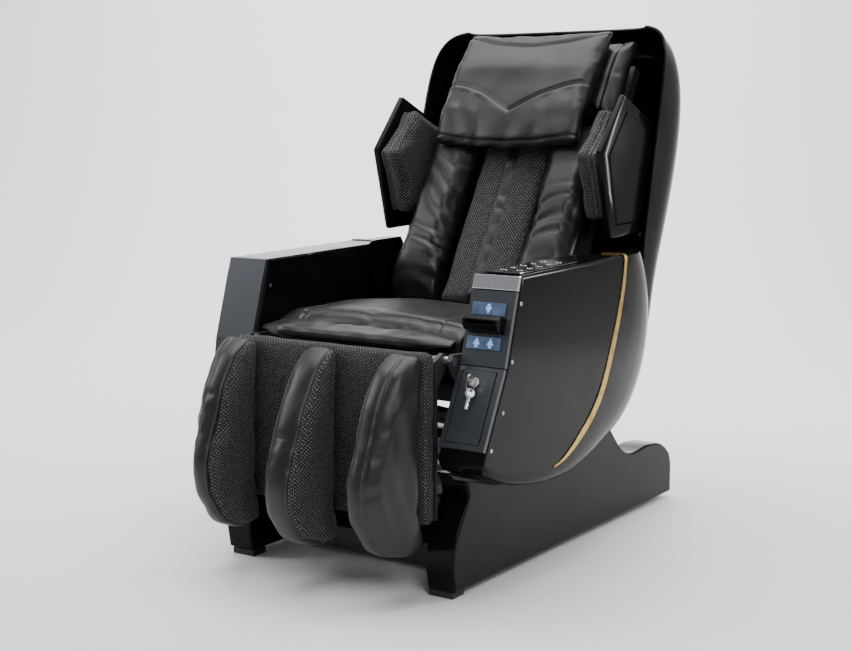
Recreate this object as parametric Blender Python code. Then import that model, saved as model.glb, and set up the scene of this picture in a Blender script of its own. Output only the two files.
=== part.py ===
# Coin-operated massage chair, modelled in metres: +Z up, the chair faces -Y, its left side is +X.
import math

import bmesh
import bpy
from mathutils import Euler, Matrix, Vector

# Driving dimensions. Every other size is worked out from these or named beside its piece.
GAP = 0.0003
ARM_OUTER = 0.380
ARM_INNER = 0.272
ARM_FLARE_INNER = 0.320
BASE_OUTER = 0.300
BASE_INNER = 0.232
BASE_BOTTOM = 0.0143
RECLINE_AXIS = (0.095, 0.500)
BACK_TILT = math.radians(30)
CHEEK_RADIUS = 0.255
CHEEK_END = 38.7
ARM_TOP_FRONT = (-0.2785, 0.6475)
LEG_AXIS = (-0.356, 0.478)
SHAFT_RADIUS = 0.008
PANEL_SPLIT = (-0.342, 0.470)
UPPER_PANEL_TILT = math.radians(16.45)
LOWER_PANEL_TILT = math.radians(27)
RIGHT_PANEL_TILT = math.radians(8)
PANEL_THICKNESS = 0.010
LEG_PUSH_ROOT = (0.1194, 0.2394)
LEG_PUSH_PIN = (-0.3448, 0.3779)
LEG_PUSH_X = 0.060
BACK_PUSH_ROOT = (-0.1992, 0.3450)
BACK_PUSH_PIN = (0.1500, 0.4000)
BACK_PUSH_X = -0.060
WHEEL_AXLE = (0.525, 0.040)
WHEEL_RADIUS = 0.034
WHEEL_X = 0.266
AXLE_HALF = 0.2962
CENTRE_SHIFT = -0.0200
RAIL_INNER = 0.190
RAIL_OUTER = 0.225


# ---- helpers ----
def clearScene():
    for item in list(bpy.data.objects):
        bpy.data.objects.remove(item, do_unlink=True)


def finish(name, colour, roughness, metallic=0.0):
    material = bpy.data.materials.new(name)
    material.use_nodes = True
    shader = material.node_tree.nodes["Principled BSDF"]
    shader.inputs["Base Color"].default_value = (*colour, 1)
    shader.inputs["Roughness"].default_value = roughness
    shader.inputs["Metallic"].default_value = metallic
    return material


def pivot(name, place, tilt=0.0, parent=None):
    """An empty that its children are modelled around: x across, y to the rear, z up, leaned back by tilt."""
    empty = bpy.data.objects.new(name, None)
    empty.location = place
    empty.rotation_euler = (-tilt, 0, 0)
    empty.parent = parent
    bpy.context.collection.objects.link(empty)
    return empty


def addObject(name, bm, material, parent=None, sharpAngle=35):
    bmesh.ops.recalc_face_normals(bm, faces=bm.faces)
    mesh = bpy.data.meshes.new(name)
    bm.to_mesh(mesh)
    bm.free()
    mesh.shade_smooth()
    mesh.set_sharp_from_angle(angle=math.radians(sharpAngle))
    piece = bpy.data.objects.new(name, mesh)
    piece.data.materials.append(material)
    piece.parent = parent
    bpy.context.collection.objects.link(piece)
    return piece


def roundEdges(piece, width, segments=2, angle=40):
    bevel = piece.modifiers.new("Round", "BEVEL")
    bevel.width = width
    bevel.segments = segments
    bevel.limit_method = "ANGLE"
    bevel.angle_limit = math.radians(angle)
    return piece


def box(name, low, high, material, parent=None, edge=0.0):
    bm = bmesh.new()
    bmesh.ops.create_cube(bm, size=1)
    size = Vector(high) - Vector(low)
    middle = (Vector(high) + Vector(low)) / 2
    bmesh.ops.scale(bm, vec=size, verts=bm.verts)
    bmesh.ops.translate(bm, vec=middle, verts=bm.verts)
    piece = addObject(name, bm, material, parent)
    return roundEdges(piece, edge) if edge else piece


def prism(name, outline, fromX, toX, material, parent=None, edge=0.0, segments=2):
    """A (y, z) outline drawn out along X."""
    bm = bmesh.new()
    face = bm.faces.new([bm.verts.new((fromX, y, z)) for y, z in outline])
    drawn = bmesh.ops.extrude_face_region(bm, geom=[face])["geom"]
    moved = [item for item in drawn if isinstance(item, bmesh.types.BMVert)]
    bmesh.ops.translate(bm, vec=(toX - fromX, 0, 0), verts=moved)
    piece = addObject(name, bm, material, parent)
    return roundEdges(piece, edge, segments) if edge else piece


def rod(name, start, end, radius, material, parent=None, sides=16):
    bm = bmesh.new()
    way = Vector(end) - Vector(start)
    turn = way.to_track_quat("Z", "Y").to_matrix().to_4x4()
    place = Matrix.Translation((Vector(start) + Vector(end)) / 2) @ turn
    bmesh.ops.create_cone(
        bm, cap_ends=True, segments=sides, radius1=radius, radius2=radius, depth=way.length, matrix=place
    )
    return addObject(name, bm, material, parent)


def hide(helper):
    helper.hide_render = True
    helper.display_type = "WIRE"


def cut(piece, *cutters):
    for cutter in cutters:
        boolean = piece.modifiers.new("Cut", "BOOLEAN")
        boolean.operation = "DIFFERENCE"
        boolean.object = cutter
        hide(cutter)
    return piece


def weld(piece, *others):
    for other in others:
        boolean = piece.modifiers.new("Weld", "BOOLEAN")
        boolean.operation = "UNION"
        boolean.object = other
        hide(other)
    return piece


def blend(start, end, part):
    return tuple(a + (b - a) * part for a, b in zip(start, end))


def smoothLine(points, count):
    """count + 1 points evenly along a smooth line through the given ones."""
    ends = [blend(points[1], points[0], 2)] + list(points) + [blend(points[-2], points[-1], 2)]
    line = []
    for i in range(len(points) - 1):
        before, start, end, after = ends[i : i + 4]
        for step in range(24):
            t = step / 24
            line.append(
                tuple(
                    0.5 * (2 * b + (c - a) * t + (2 * a - 5 * b + 4 * c - d) * t * t + (3 * b - a - 3 * c + d) * t**3)
                    for a, b, c, d in zip(before, start, end, after)
                )
            )
    line.append(tuple(points[-1]))
    return evenly(line, count)


def evenly(line, count):
    lengths = [0.0]
    for start, end in zip(line, line[1:]):
        lengths.append(lengths[-1] + math.dist(start, end))
    spaced = []
    for i in range(count + 1):
        wanted = lengths[-1] * i / count
        k = next((k for k in range(1, len(lengths)) if lengths[k] >= wanted - 1e-9), len(lengths) - 1)
        stretch = lengths[k] - lengths[k - 1]
        spaced.append(blend(line[k - 1], line[k], (wanted - lengths[k - 1]) / stretch if stretch else 0))
    return spaced


def arc(centre, radius, fromDegrees, toDegrees, count):
    angles = [math.radians(fromDegrees + (toDegrees - fromDegrees) * i / count) for i in range(count + 1)]
    return [(centre[0] + radius * math.cos(a), centre[1] + radius * math.sin(a)) for a in angles]


def loft(name, loops, material, parent=None, sharpAngle=35):
    """Closed solid through loops of equally many points, with flat ends."""
    bm = bmesh.new()
    rings = [[bm.verts.new(point) for point in loop] for loop in loops]
    for ring, following in zip(rings, rings[1:]):
        for i in range(len(ring)):
            j = (i + 1) % len(ring)
            bm.faces.new((ring[i], ring[j], following[j], following[i]))
    bm.faces.new(list(reversed(rings[0])))
    bm.faces.new(rings[-1])
    return addObject(name, bm, material, parent, sharpAngle)


def mirrored(piece, name):
    """The same solid on the chair's other side, in a mesh of its own."""
    mesh = piece.data.copy()
    mesh.transform(Matrix.Scale(-1, 4, (1, 0, 0)))
    mesh.flip_normals()
    twin = bpy.data.objects.new(name, mesh)
    twin.parent = piece.parent
    bpy.context.collection.objects.link(twin)
    for modifier in piece.modifiers:
        if modifier.type == "BEVEL":
            roundEdges(twin, modifier.width, modifier.segments, math.degrees(modifier.angle_limit))
        if modifier.type == "SOLIDIFY":
            thicken(twin, modifier.thickness, -modifier.offset)
    return twin


def thicken(piece, thickness, side=-1.0):
    solidify = piece.modifiers.new("Thickness", "SOLIDIFY")
    solidify.thickness = thickness
    solidify.offset = side
    return piece


# ---- base ----
def makeBaseFrame(steel):
    frame = box("base_frame", (-RAIL_OUTER, -0.262, BASE_BOTTOM), (RAIL_OUTER, -0.222, 0.060), steel)
    shapes = []
    for side in (-1, 1):
        low, high = sorted((side * RAIL_INNER, side * RAIL_OUTER))
        shapes.append(box("rail", (low, -0.255, BASE_BOTTOM), (high, 0.585, 0.050), steel))
        for y in (-0.205, 0.115):
            low, high = sorted((side * (RAIL_INNER + 0.004), side * (RAIL_OUTER - 0.004)))
            shapes.append(box("post", (low, y - 0.015, 0.03), (high, y + 0.015, 0.3847), steel))
    for y in (-0.145, 0.075, 0.485):
        shapes.append(box("cross", (-0.205, y - 0.015, 0.016), (0.205, y + 0.015, 0.048), steel))
    shapes.append(box("upper_cross", (-0.205, 0.106, 0.198), (0.205, 0.126, 0.222), steel))
    shapes.append(box("inlet_plate", (-0.060, 0.488, 0.02), (0.060, 0.494, 0.150), steel))
    shapes += lugs(LEG_PUSH_X, (0.098, 0.212), (0.141, 0.262), steel)
    weld(frame, *shapes)
    y, z = LEG_PUSH_ROOT
    cut(frame, rod("lug_bore", (-0.02, y, z), (0.14, y, z), 0.0063, steel))
    y, z = WHEEL_AXLE
    return cut(frame, rod("axle_bore", (-0.24, y, z), (0.24, y, z), 0.0056, steel))


def lugs(x, low, high, material, spread=0.026):
    """Two upright ears, one each side of x."""
    plates = []
    for side in (-1, 1):
        a, b = sorted((x + side * (spread - 0.006), x + side * spread))
        plates.append(box("lug", (a, low[0], low[1]), (b, high[0], high[1]), material))
    return plates


def baseOutline():
    front = [(-0.396, BASE_BOTTOM), (-0.404, 0.060)]
    fin = smoothLine([(-0.403, 0.100), (-0.387, 0.136), (-0.361, 0.175), (-0.345, 0.211), (-0.361, 0.241)], 8)
    top = [(-0.384, 0.256), (-0.060, 0.190), (0.236, 0.240), (0.262, 0.240)]
    slope = smoothLine([(0.276, 0.230), (0.315, 0.190), (0.360, 0.160), (0.405, 0.155), (0.465, 0.160)], 8)
    hump = smoothLine([(0.465, 0.160), (0.540, 0.152), (0.594, 0.122), (0.610, 0.089)], 6)
    return front + fin + top + slope + hump[1:] + [(0.610, BASE_BOTTOM)]


def makeBaseCover(black):
    cover = prism("left_base_cover", baseOutline(), BASE_INNER, BASE_OUTER, black)
    roundEdges(cover, 0.006, 3, 50)
    wall = 0.004
    inside = [(-0.384, -0.02), (-0.392, 0.060), (-0.385, 0.102), (-0.369, 0.137), (-0.342, 0.177), (-0.331, 0.203)]
    inside += [(-0.245, 0.198), (-0.158, 0.186), (-0.060, 0.180), (0.236, 0.230), (0.258, 0.226), (0.350, 0.146)]
    inside += [(0.465, 0.150), (0.535, 0.143), (0.585, 0.114), (0.604, 0.084), (0.604, -0.02)]
    cut(cover, prism("left_cover_hollow", inside, BASE_INNER + wall, BASE_OUTER - wall, black))
    underArm = [(-0.450, 0.400), (-0.450, 0.266), (-0.330, 0.228), (-0.245, 0.206), (-0.158, 0.193)]
    underArm += [(-0.050, 0.190), (-0.050, 0.400)]
    cut(cover, prism("left_cover_step", underArm, ARM_INNER - 0.0015, BASE_OUTER + 0.02, black))
    y, z = WHEEL_AXLE
    return cut(cover, rod("left_cover_bore", (BASE_INNER - 0.02, y, z), (AXLE_HALF + GAP, y, z), 0.0056, black))


def makeFeet(rubber):
    for side, name in ((1, "left"), (-1, "right")):
        for where, outer, front, rear in (("front", 0.292, -0.394, -0.350), ("rear", 0.264, 0.420, 0.480)):
            low, high = sorted((side * (BASE_INNER + 0.001), side * outer))
            box(f"{name}_{where}_foot", (low, front, 0), (high, rear, BASE_BOTTOM - GAP), rubber, edge=0.002)


def makeWheels(steel, rubber):
    y, z = WHEEL_AXLE
    rod("wheel_axle", (-AXLE_HALF, y, z), (AXLE_HALF, y, z), 0.005, steel)
    for side, name in ((1, "left"), (-1, "right")):
        hub = pivot(f"{name}_wheel_pivot", (side * WHEEL_X, y, z))
        wheel = rod(f"{name}_wheel", (-0.014, 0, 0), (0.014, 0, 0), WHEEL_RADIUS, rubber, hub, 24)
        roundEdges(wheel, 0.004, 2, 60)
        cut(wheel, rod(f"{name}_wheel_bore", (-0.03, 0, 0), (0.03, 0, 0), 0.0053, rubber, hub))


# ---- seat ----
def makeSeatFrame(steel):
    side = [(-0.370, 0.478), (-0.360, 0.491), (-0.300, 0.488), (0.060, 0.488), (0.085, 0.516), (0.106, 0.516)]
    side += [(0.114, 0.497), (0.100, 0.400), (0.080, 0.385), (-0.300, 0.385), (-0.362, 0.462)]
    shapes = []
    for way in (-1, 1):
        low, high = sorted((way * 0.2600, way * 0.2714))
        shapes.append(prism("side_plate", side, low, high, steel))
        low, high = sorted((way * RAIL_INNER, way * RAIL_OUTER))
        shapes.append(box("seat_rail", (low, -0.30, 0.385), (high, 0.060, 0.4135), steel))
    for y, bottom in ((-0.287, 0.387), (-0.200, 0.387), (0.032, 0.405)):
        shapes.append(box("seat_cross", (-0.2655, y - 0.013, bottom), (0.2655, y + 0.013, 0.4145), steel))
    shapes += lugs(BACK_PUSH_X, (-0.213, 0.328), (-0.186, 0.392), steel)
    frame = weld(box("seat_frame", (-0.250, -0.300, 0.411), (0.250, 0.060, 0.418), steel), *shapes)
    for name, place, radius in (("leg", LEG_AXIS, SHAFT_RADIUS), ("recline", RECLINE_AXIS, SHAFT_RADIUS)):
        cut(frame, acrossRod(f"{name}_frame_bore", place, 0.30, radius + GAP, steel))
    notch = (LEG_PUSH_X - 0.0130, LEG_PUSH_X + 0.0130)
    cut(frame, box("push_rod_notch", (notch[0], -0.315, 0.370), (notch[1], -0.170, 0.4045), steel))
    y, z = BACK_PUSH_ROOT
    return cut(frame, rod("lug_bore", (-0.14, y, z), (0.02, y, z), 0.0063, steel))


def acrossRod(name, place, half, radius, material, parent=None):
    return rod(name, (-half, *place), (half, *place), radius, material, parent)


def makeSeat(leather):
    cushion = [(-0.308, 0.4185), (-0.312, 0.470), (-0.305, 0.512), (-0.280, 0.530), (-0.100, 0.532)]
    cushion += [(0.045, 0.524), (0.073, 0.505), (0.073, 0.4185)]
    prism("seat_cushion", cushion, -0.255, 0.255, leather, edge=0.008)
    flap = [(-0.3125, 0.436), (-0.3125, 0.502), (-0.326, 0.504), (-0.3315, 0.492), (-0.3315, 0.444), (-0.325, 0.436)]
    prism("seat_flap", flap, -0.252, 0.252, leather)


def makeUnderbody(black):
    """Curved skin under the seat, struck from the recline axis so that the back sweeps round it."""
    outer = arc(RECLINE_AXIS, CHEEK_RADIUS, -66, -22, 12)
    inner = arc(RECLINE_AXIS, CHEEK_RADIUS - 0.006, -22, -66, 12)
    prism("underbody_shell", outer + inner, -0.3185, 0.3185, black)


def makeInnards(steel, black, rubber):
    box("power_box", (-0.145, -0.150, 0.0485), (-0.035, 0.090, 0.150), black, edge=0.004)
    box("air_pump", (0.035, -0.150, 0.0485), (0.145, 0.085, 0.135), black, edge=0.010)
    inlet = box("power_inlet", (-0.050, 0.4945, 0.070), (0.050, 0.530, 0.140), black)
    hole = box("switch_hole", (0.012, 0.512, 0.085), (0.042, 0.540, 0.125), black)
    socket = box("socket_hole", (-0.040, 0.512, 0.086), (-0.010, 0.540, 0.124), black)
    cut(inlet, hole, socket)
    hinge = pivot("switch_pivot", (0.027, 0.5265, 0.105))
    rocker = [(-0.0025, -0.0155), (0.0055, -0.0170), (0.0035, 0.0), (0.0065, 0.0170), (-0.0025, 0.0155)]
    prism("power_switch", rocker, -0.012, 0.012, rubber, hinge)


# ---- arms ----
def armLoops():
    """Pairs of (outer ring point at full width, ring point on the side face, rounding depth)."""
    bottom = smoothLine([(-0.408, 0.269), (-0.330, 0.236), (-0.245, 0.213), (-0.158, 0.200)], 5)
    belly = smoothLine([(-0.158, 0.200), (-0.039, 0.198), (0.060, 0.218), (0.130, 0.243)], 12)
    rear = arc(RECLINE_AXIS, CHEEK_RADIUS, -66, CHEEK_END, 24)
    sweep = evenly(belly + rear, 24)
    gold = goldCurve(24)
    ring = []
    for a, b in ((ARM_TOP_FRONT, 0.003), ((-0.2877, 0.6163), 0.003), ((-0.3321, 0.4665), 0.003)):
        ring.append((a, (a[0] + b, a[1]), b))
    ring[0] = (ring[0][0], (-0.2755, 0.6405), 0.007)
    ring.append(((-0.4105, 0.3128), (-0.4075, 0.3128), 0.003))
    ring.append(((-0.4210, 0.2900), (-0.4170, 0.2905), 0.004))
    edge = smoothLine([(-0.398, 0.279), (-0.330, 0.257), (-0.244, 0.240), goldCurve(24)[0]], 5)
    for outer, inner in list(zip(bottom, edge))[:-1]:
        ring.append((outer, inner, 0.030 * min(1.0, math.dist(outer, inner) / 0.030)))
    for outer, inner in zip(sweep, gold):
        ring.append((outer, inner, 0.034 * min(1.0, math.dist(outer, inner) / 0.034)))
    topRear, topFront = sweep[-1], ring[0][0]
    for part, depth in ((0.12, 0.030), (0.26, 0.009), (0.5, 0.007), (0.75, 0.007)):
        y, z = blend(topRear, topFront, part)
        inner = (min(y, gold[-1][0] - 0.001), z - 0.007)
        ring.append(((y, z), inner, depth))
    return ring


def armTopSlope():
    """Rise of the arm's top for each metre towards the rear."""
    rear = arc(RECLINE_AXIS, CHEEK_RADIUS, 0, CHEEK_END, 1)[-1]
    return (rear[1] - ARM_TOP_FRONT[1]) / (rear[0] - ARM_TOP_FRONT[0])


def goldCurve(count):
    """The line of the gold strip on the side face, from its front tip up to the arm's top."""
    return smoothLine(
        [(-0.168, 0.232), (-0.106, 0.240), (-0.042, 0.266), (0.024, 0.308), (0.075, 0.362), (0.117, 0.440)]
        + [(0.148, 0.516), (0.168, 0.586), (0.176, 0.645)],
        count,
    )


def makeArm(black):
    ring = armLoops()
    inner = [(ARM_INNER, *shrink(ring, i, 0.004)) for i in range(len(ring))]
    loops = [inner, [(ARM_INNER + 0.004, *outer) for outer, _, _ in ring]]
    for step in range(0, 6):
        turn = math.radians(90 * step / 5)
        loops.append(
            [
                (ARM_OUTER - depth * (1 - math.sin(turn)), *blend(outer, face, 1 - math.cos(turn)))
                for outer, face, depth in ring
            ]
        )
    return loft("left_arm_shell", loops, black, sharpAngle=30)


def shrink(ring, i, distance):
    """Point i of the outer ring moved inwards, square to its neighbours."""
    before, here, after = (ring[(i + k) % len(ring)][0] for k in (-1, 0, 1))
    along = Vector((after[0] - before[0], after[1] - before[1])).normalized()
    return (here[0] - along.y * distance, here[1] + along.x * distance)


def flareCutter(side, material):
    """Takes the inner face back towards the rear, which leaves room for the shoulder wings."""
    bm = bmesh.new()
    reach = ARM_FLARE_INNER - ARM_INNER
    line = [(0.25, 0.06)]
    for step in range(9):
        part = step / 8
        ease = part * part * (3 - 2 * part)
        line.append((ARM_INNER - 0.0002 + reach * ease, 0.075 + 0.110 * part))
    line += [(ARM_FLARE_INNER - 0.0002, 0.45), (0.25, 0.45)]
    face = bm.faces.new([bm.verts.new((side * x, y, 0.1)) for x, y in line])
    drawn = bmesh.ops.extrude_face_region(bm, geom=[face])["geom"]
    moved = [item for item in drawn if isinstance(item, bmesh.types.BMVert)]
    bmesh.ops.translate(bm, vec=(0, 0, 0.8), verts=moved)
    return addObject("flare", bm, material)


def makeGoldStrip(gold):
    """A thin ribbon: in over the arm's top, round the corner, and down the side face to a point."""
    lift, thickness = GAP + 0.0001, 0.002
    stations = []
    slope = armTopSlope()
    top = ARM_TOP_FRONT[1] + slope * (0.168 - ARM_TOP_FRONT[0])
    for x in (0.324, 0.350, 0.3727):
        stations.append(((x, 0.168, top), (0, -1, -slope), (0, -slope, 1), 0.012))
    for step in range(1, 5):
        turn = math.radians(90 * step / 5)
        place = (ARM_OUTER - 0.007 * (1 - math.sin(turn)), 0.168, top - 0.007 * (1 - math.cos(turn)))
        stations.append((place, (0, -1, 0), (math.sin(turn), 0, math.cos(turn)), 0.012))
    line = list(reversed(goldCurve(26)))
    for i, (y, z) in enumerate(line[:-1]):
        start, end = line[max(i - 1, 0)], line[i + 1]
        along = Vector((end[0] - start[0], end[1] - start[1])).normalized()
        inward = Vector((0, along.y, -along.x)) if i else Vector((0, -1, 0))
        part = i / (len(line) - 1)
        width = 0.012 + 0.007 * math.sin(math.pi * min(1, part * 1.1)) if part < 0.72 else 0.0175 * (1 - part) / 0.28
        width = max(width, 0.0012)
        middle = Vector((ARM_OUTER, y, z)) + inward * (width / 2 + 0.0015)
        stations.append((tuple(middle), tuple(inward), (1, 0, 0), width))
    loops = []
    for place, across, out, width in stations:
        place, across, out = Vector(place), Vector(across).normalized(), Vector(out).normalized()
        loop = []
        for sideways, height in ((-0.5, lift), (0.5, lift), (0.5, lift + thickness), (-0.5, lift + thickness)):
            loop.append(tuple(place + across * width * sideways + out * height))
        loops.append(loop)
    return loft("left_gold_strip", loops, gold, sharpAngle=50)


def makeArms(black, gold, satin):
    left = makeArm(black)
    right = mirrored(left, "right_arm_shell")
    cut(left, flareCutter(1, black))
    cut(right, flareCutter(-1, black))
    strip = makeGoldStrip(gold)
    mirrored(strip, "right_gold_strip")
    upper = pivot("upper_panel_frame", (0, *PANEL_SPLIT), UPPER_PANEL_TILT)
    lower = pivot("lower_panel_frame", (0, *PANEL_SPLIT), LOWER_PANEL_TILT)
    cut(left, box("acceptor_pocket", (0.2832, -0.02, 0.030), (0.3668, 0.140, 0.128), black, upper))
    cut(left, box("cash_pocket", (0.2832, -0.02, -0.158), (0.3668, 0.150, -0.012), black, lower))
    rightLower = pivot("right_panel_frame", (0, *PANEL_SPLIT), RIGHT_PANEL_TILT)
    behind = PANEL_THICKNESS + GAP
    cut(right, box("right_front_cut", (-0.400, -0.300, -0.300), (-0.250, behind, 0.0), black, rightLower))
    plate = box("right_arm_panel", (-0.378, 0, 0.001), (-0.274, PANEL_THICKNESS, 0.1535), satin, upper)
    lowerPlate = box("right_panel_lower", (-0.378, 0, -0.1610), (-0.274, PANEL_THICKNESS, 0.0022), satin, rightLower)
    cap = prism("right_panel_cap", capOutline(-0.0040), -0.378, -0.274, satin)
    weld(plate, lowerPlate, cap)
    return upper, lower


def capOutline(lowered=0.0):
    """The sloping cap at an arm's front top edge."""
    foot = [(-0.2980, 0.6196 + lowered), (-0.2882 + 0.296 * lowered, 0.6168 + lowered)]
    return [(-0.2887, 0.6472)] + foot + [(-0.2792, 0.6472)]


# ---- payment tower ----
def makeTower(upper, lower, looks):
    satin, chrome, black, blue, steel, brass = looks
    prism("tower_bevel", capOutline(), 0.274, 0.378, chrome, edge=0.0012)
    panel = box("tower_panel", (0.274, 0, 0.001), (0.378, PANEL_THICKNESS, 0.1535), satin, upper)
    cut(panel, box("mouth_hole", (0.289, -0.01, 0.070), (0.361, 0.02, 0.095), satin, upper))
    for name, low in (("upper_display", 0.103), ("lower_display", 0.034)):
        box(name, (0.283, -0.0028, low), (0.361, -GAP, low + 0.026), blue, upper, edge=0.0008)
    makeAcceptor(upper, black)
    frame = box("door_frame", (0.274, 0, -0.1705), (0.378, PANEL_THICKNESS, -0.0010), satin, lower)
    cut(frame, box("door_opening", (0.2845, -0.02, -0.1595), (0.3650, 0.02, -0.0095), satin, lower))
    makeDoor(lower, satin, steel, brass)
    cashBox = box("cash_box", (0.2860, 0.0125, -0.1500), (0.3640, 0.1350, -0.0200), steel, lower)
    cut(cashBox, box("cash_space", (0.2880, 0.0150, -0.1480), (0.3620, 0.1330, 0.0), steel, lower))


def makeAcceptor(upper, black):
    body = box("bill_acceptor", (0.2870, 0.0108, 0.0400), (0.3630, 0.1200, 0.1200), black, upper)
    neck = box("acceptor_neck", (0.2900, -0.0050, 0.0710), (0.3600, 0.0200, 0.0940), black, upper)
    bezel = [(-GAP, 0.0660), (-0.0240, 0.0700), (-0.0340, 0.0780), (-0.0340, 0.0900), (-0.0240, 0.0990), (-GAP, 0.0990)]
    mouth = prism("acceptor_mouth", bezel, 0.2850, 0.3650, black, upper)
    weld(body, neck, mouth)
    return cut(body, box("bill_slot", (0.2915, -0.05, 0.0805), (0.3585, -0.0120, 0.0875), black, upper))


def makeDoor(lower, satin, steel, brass):
    hinge = pivot("door_pivot", (0.3600, 0.0030, -0.0845), 0, lower)
    door = box("cash_door", (-0.0740, -0.0038, -0.0740), (0.0025, 0.0030, 0.0740), satin, hinge, edge=0.0008)
    cut(door, rod("lock_hole", (-0.038, -0.02, 0.050), (-0.038, 0.02, 0.050), 0.0103, satin, hinge, 24))
    lock = pivot("lock_pivot", (-0.038, 0, 0.050), 0, hinge)
    barrel = rod("cam_lock", (0, -0.0085, 0), (0, 0.0080, 0), 0.0100, steel, lock, 24)
    cut(barrel, box("keyway", (-0.0012, -0.02, -0.0042), (0.0012, 0.002, 0.0042), steel, lock))
    blade = box("key", (-0.0008, -0.0140, -0.0036), (0.0008, 0.0015, 0.0036), brass, lock)
    bow = rod("key_bow", (-0.0013, -0.0240, 0), (0.0013, -0.0240, 0), 0.0120, brass, lock, 20)
    cut(weld(blade, bow), rod("key_eye", (-0.01, -0.0290, 0), (0.01, -0.0290, 0), 0.0030, brass, lock))


def makeControlPanel(glass):
    frame = pivot("control_frame", (0, *ARM_TOP_FRONT), -math.atan(armTopSlope()))
    box("control_panel", (0.2860, 0.0120, 0.0004), (0.3660, 0.2500, 0.0044), glass, frame, edge=0.0015)


# ---- back ----
def shellStations():
    """Rear middle (y, z), front edge (y, z) and half width of the back shell, from its lower lip up."""
    half = 0.333
    return [
        ((0.284, 0.020), (0.2620, 0.018), half),
        ((0.294, 0.060), (0.2570, 0.060), half),
        ((0.300, 0.110), (0.2400, 0.110), half),
        ((0.304, 0.160), (0.2110, 0.160), half),
        ((0.307, 0.215), (0.1720, 0.212), half),
        ((0.309, 0.275), (0.1430, 0.262), half),
        ((0.309, 0.345), (0.1200, 0.330), half),
        ((0.306, 0.425), (0.0960, 0.410), half),
        ((0.297, 0.510), (0.0690, 0.495), half),
        ((0.278, 0.590), (0.0440, 0.580), half),
        ((0.246, 0.665), (0.0240, 0.660), 0.331),
        ((0.201, 0.722), (0.0140, 0.715), 0.325),
        ((0.146, 0.763), (0.0120, 0.757), 0.312),
        ((0.086, 0.786), (0.0130, 0.781), 0.288),
        ((0.036, 0.795), (0.0160, 0.791), 0.250),
    ]


def makeBackShell(back, black):
    bm = bmesh.new()
    rows = []
    quarter = [0, 4, 11, 20, 32, 45, 58, 70, 79, 86, 90]
    for rear, front, half in shellStations():
        squareness = 2 / 4.4
        points = []
        for degrees in quarter:
            turn = math.radians(degrees)
            depth = max(math.sin(turn), 0) ** squareness
            points.append((half * max(math.cos(turn), 0) ** squareness, *blend(front, rear, depth)))
        points[-1] = (0.0, *rear)
        row = points + [(-x, y, z) for x, y, z in reversed(points[:-1])]
        rows.append([bm.verts.new(point) for point in row])
    for row, following in zip(rows, rows[1:]):
        for i in range(len(row) - 1):
            bm.faces.new((row[i], row[i + 1], following[i + 1], following[i]))
    shell = addObject("back_shell", bm, black, back, 180)
    smooth = shell.modifiers.new("Smooth", "SUBSURF")
    smooth.levels = 1
    smooth.render_levels = 1
    return thicken(shell, 0.005, 1.0)


def makeBackFrame(back, steel):
    shapes = []
    for side in (-1, 1):
        low, high = sorted((side * 0.195, side * 0.220))
        shapes.append(box("upright", (low, 0.080, -0.040), (high, 0.110, 0.720), steel, back))
        low, high = sorted((side * 0.208, side * 0.220))
        ear = [(-0.016, 0.006), (-0.006, 0.017), (0.010, 0.018), (0.095, 0.060), (0.095, -0.035), (0.010, -0.018)]
        ear.append((-0.010, -0.014))
        shapes.append(prism("ear", ear, low, high, steel, back))
        shapes.append(rod("guide", (side * 0.125, 0.095, 0.0), (side * 0.125, 0.095, 0.712), 0.007, steel, back, 12))
    for low, high in ((-0.040, 0.005), (0.690, 0.720)):
        shapes.append(box("screw_support", (-0.020, 0.100, low + 0.004), (0.020, 0.160, low + 0.022), steel, back))
    local = Vector((0, BACK_PUSH_PIN[0] - RECLINE_AXIS[0], BACK_PUSH_PIN[1] - RECLINE_AXIS[1]))
    local.rotate(Euler((BACK_TILT, 0, 0)))
    shapes += lugs(BACK_PUSH_X, (local.y - 0.016, local.z - 0.014), (local.y + 0.010, -0.030), steel)
    for plate in shapes[-2:]:
        plate.parent = back
    shapes.append(box("top_cross", (-0.215, 0.082, 0.690), (0.215, 0.108, 0.720), steel, back))
    frame = weld(box("back_frame", (-0.215, 0.082, -0.040), (0.215, 0.108, 0.005), steel, back), *shapes)
    cut(frame, acrossRod("back_bore", (0, 0), 0.30, SHAFT_RADIUS + GAP, steel, back))
    cut(frame, rod("eye_bore", (-0.14, local.y, local.z), (0.02, local.y, local.z), 0.0090, steel, back))
    return cut(frame, rod("screw_bore", (0, 0.140, -0.1), (0, 0.140, 0.8), 0.0074, steel, back))


def makeBackPads(back, leather, mesh):
    box("back_mesh_panel", (-0.096, 0.017, 0.040), (0.096, 0.047, 0.520), mesh, back, edge=0.006)
    bolster = [(0.050, 0.034), (0.050, 0.520), (0.0, 0.520), (-0.018, 0.480), (-0.022, 0.300), (-0.018, 0.100)]
    bolster += [(0.0, 0.050), (0.020, 0.034)]
    left = prism("left_bolster", bolster, 0.100, 0.238, leather, back, edge=0.010)
    mirrored(left, "right_bolster")
    head = [(0.050, 0.526), (0.050, 0.758), (0.022, 0.762), (0.004, 0.740), (-0.004, 0.640), (-0.004, 0.526)]
    prism("head_pad", head, -0.250, 0.250, leather, back, edge=0.010)
    hinge = pivot("pillow_pivot", (0, -0.014, 0.752), 0, back)
    pillow = [(0.006, 0.004), (-0.006, 0.010), (-0.026, -0.010), (-0.046, -0.120), (-0.052, -0.240), (-0.044, -0.325)]
    pillow += [(-0.024, -0.335), (-0.013, -0.320), (-0.013, -0.240), (-0.002, -0.120), (0.004, -0.010)]
    prism("head_pillow", pillow, -0.205, 0.205, leather, hinge, edge=0.005)


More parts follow.
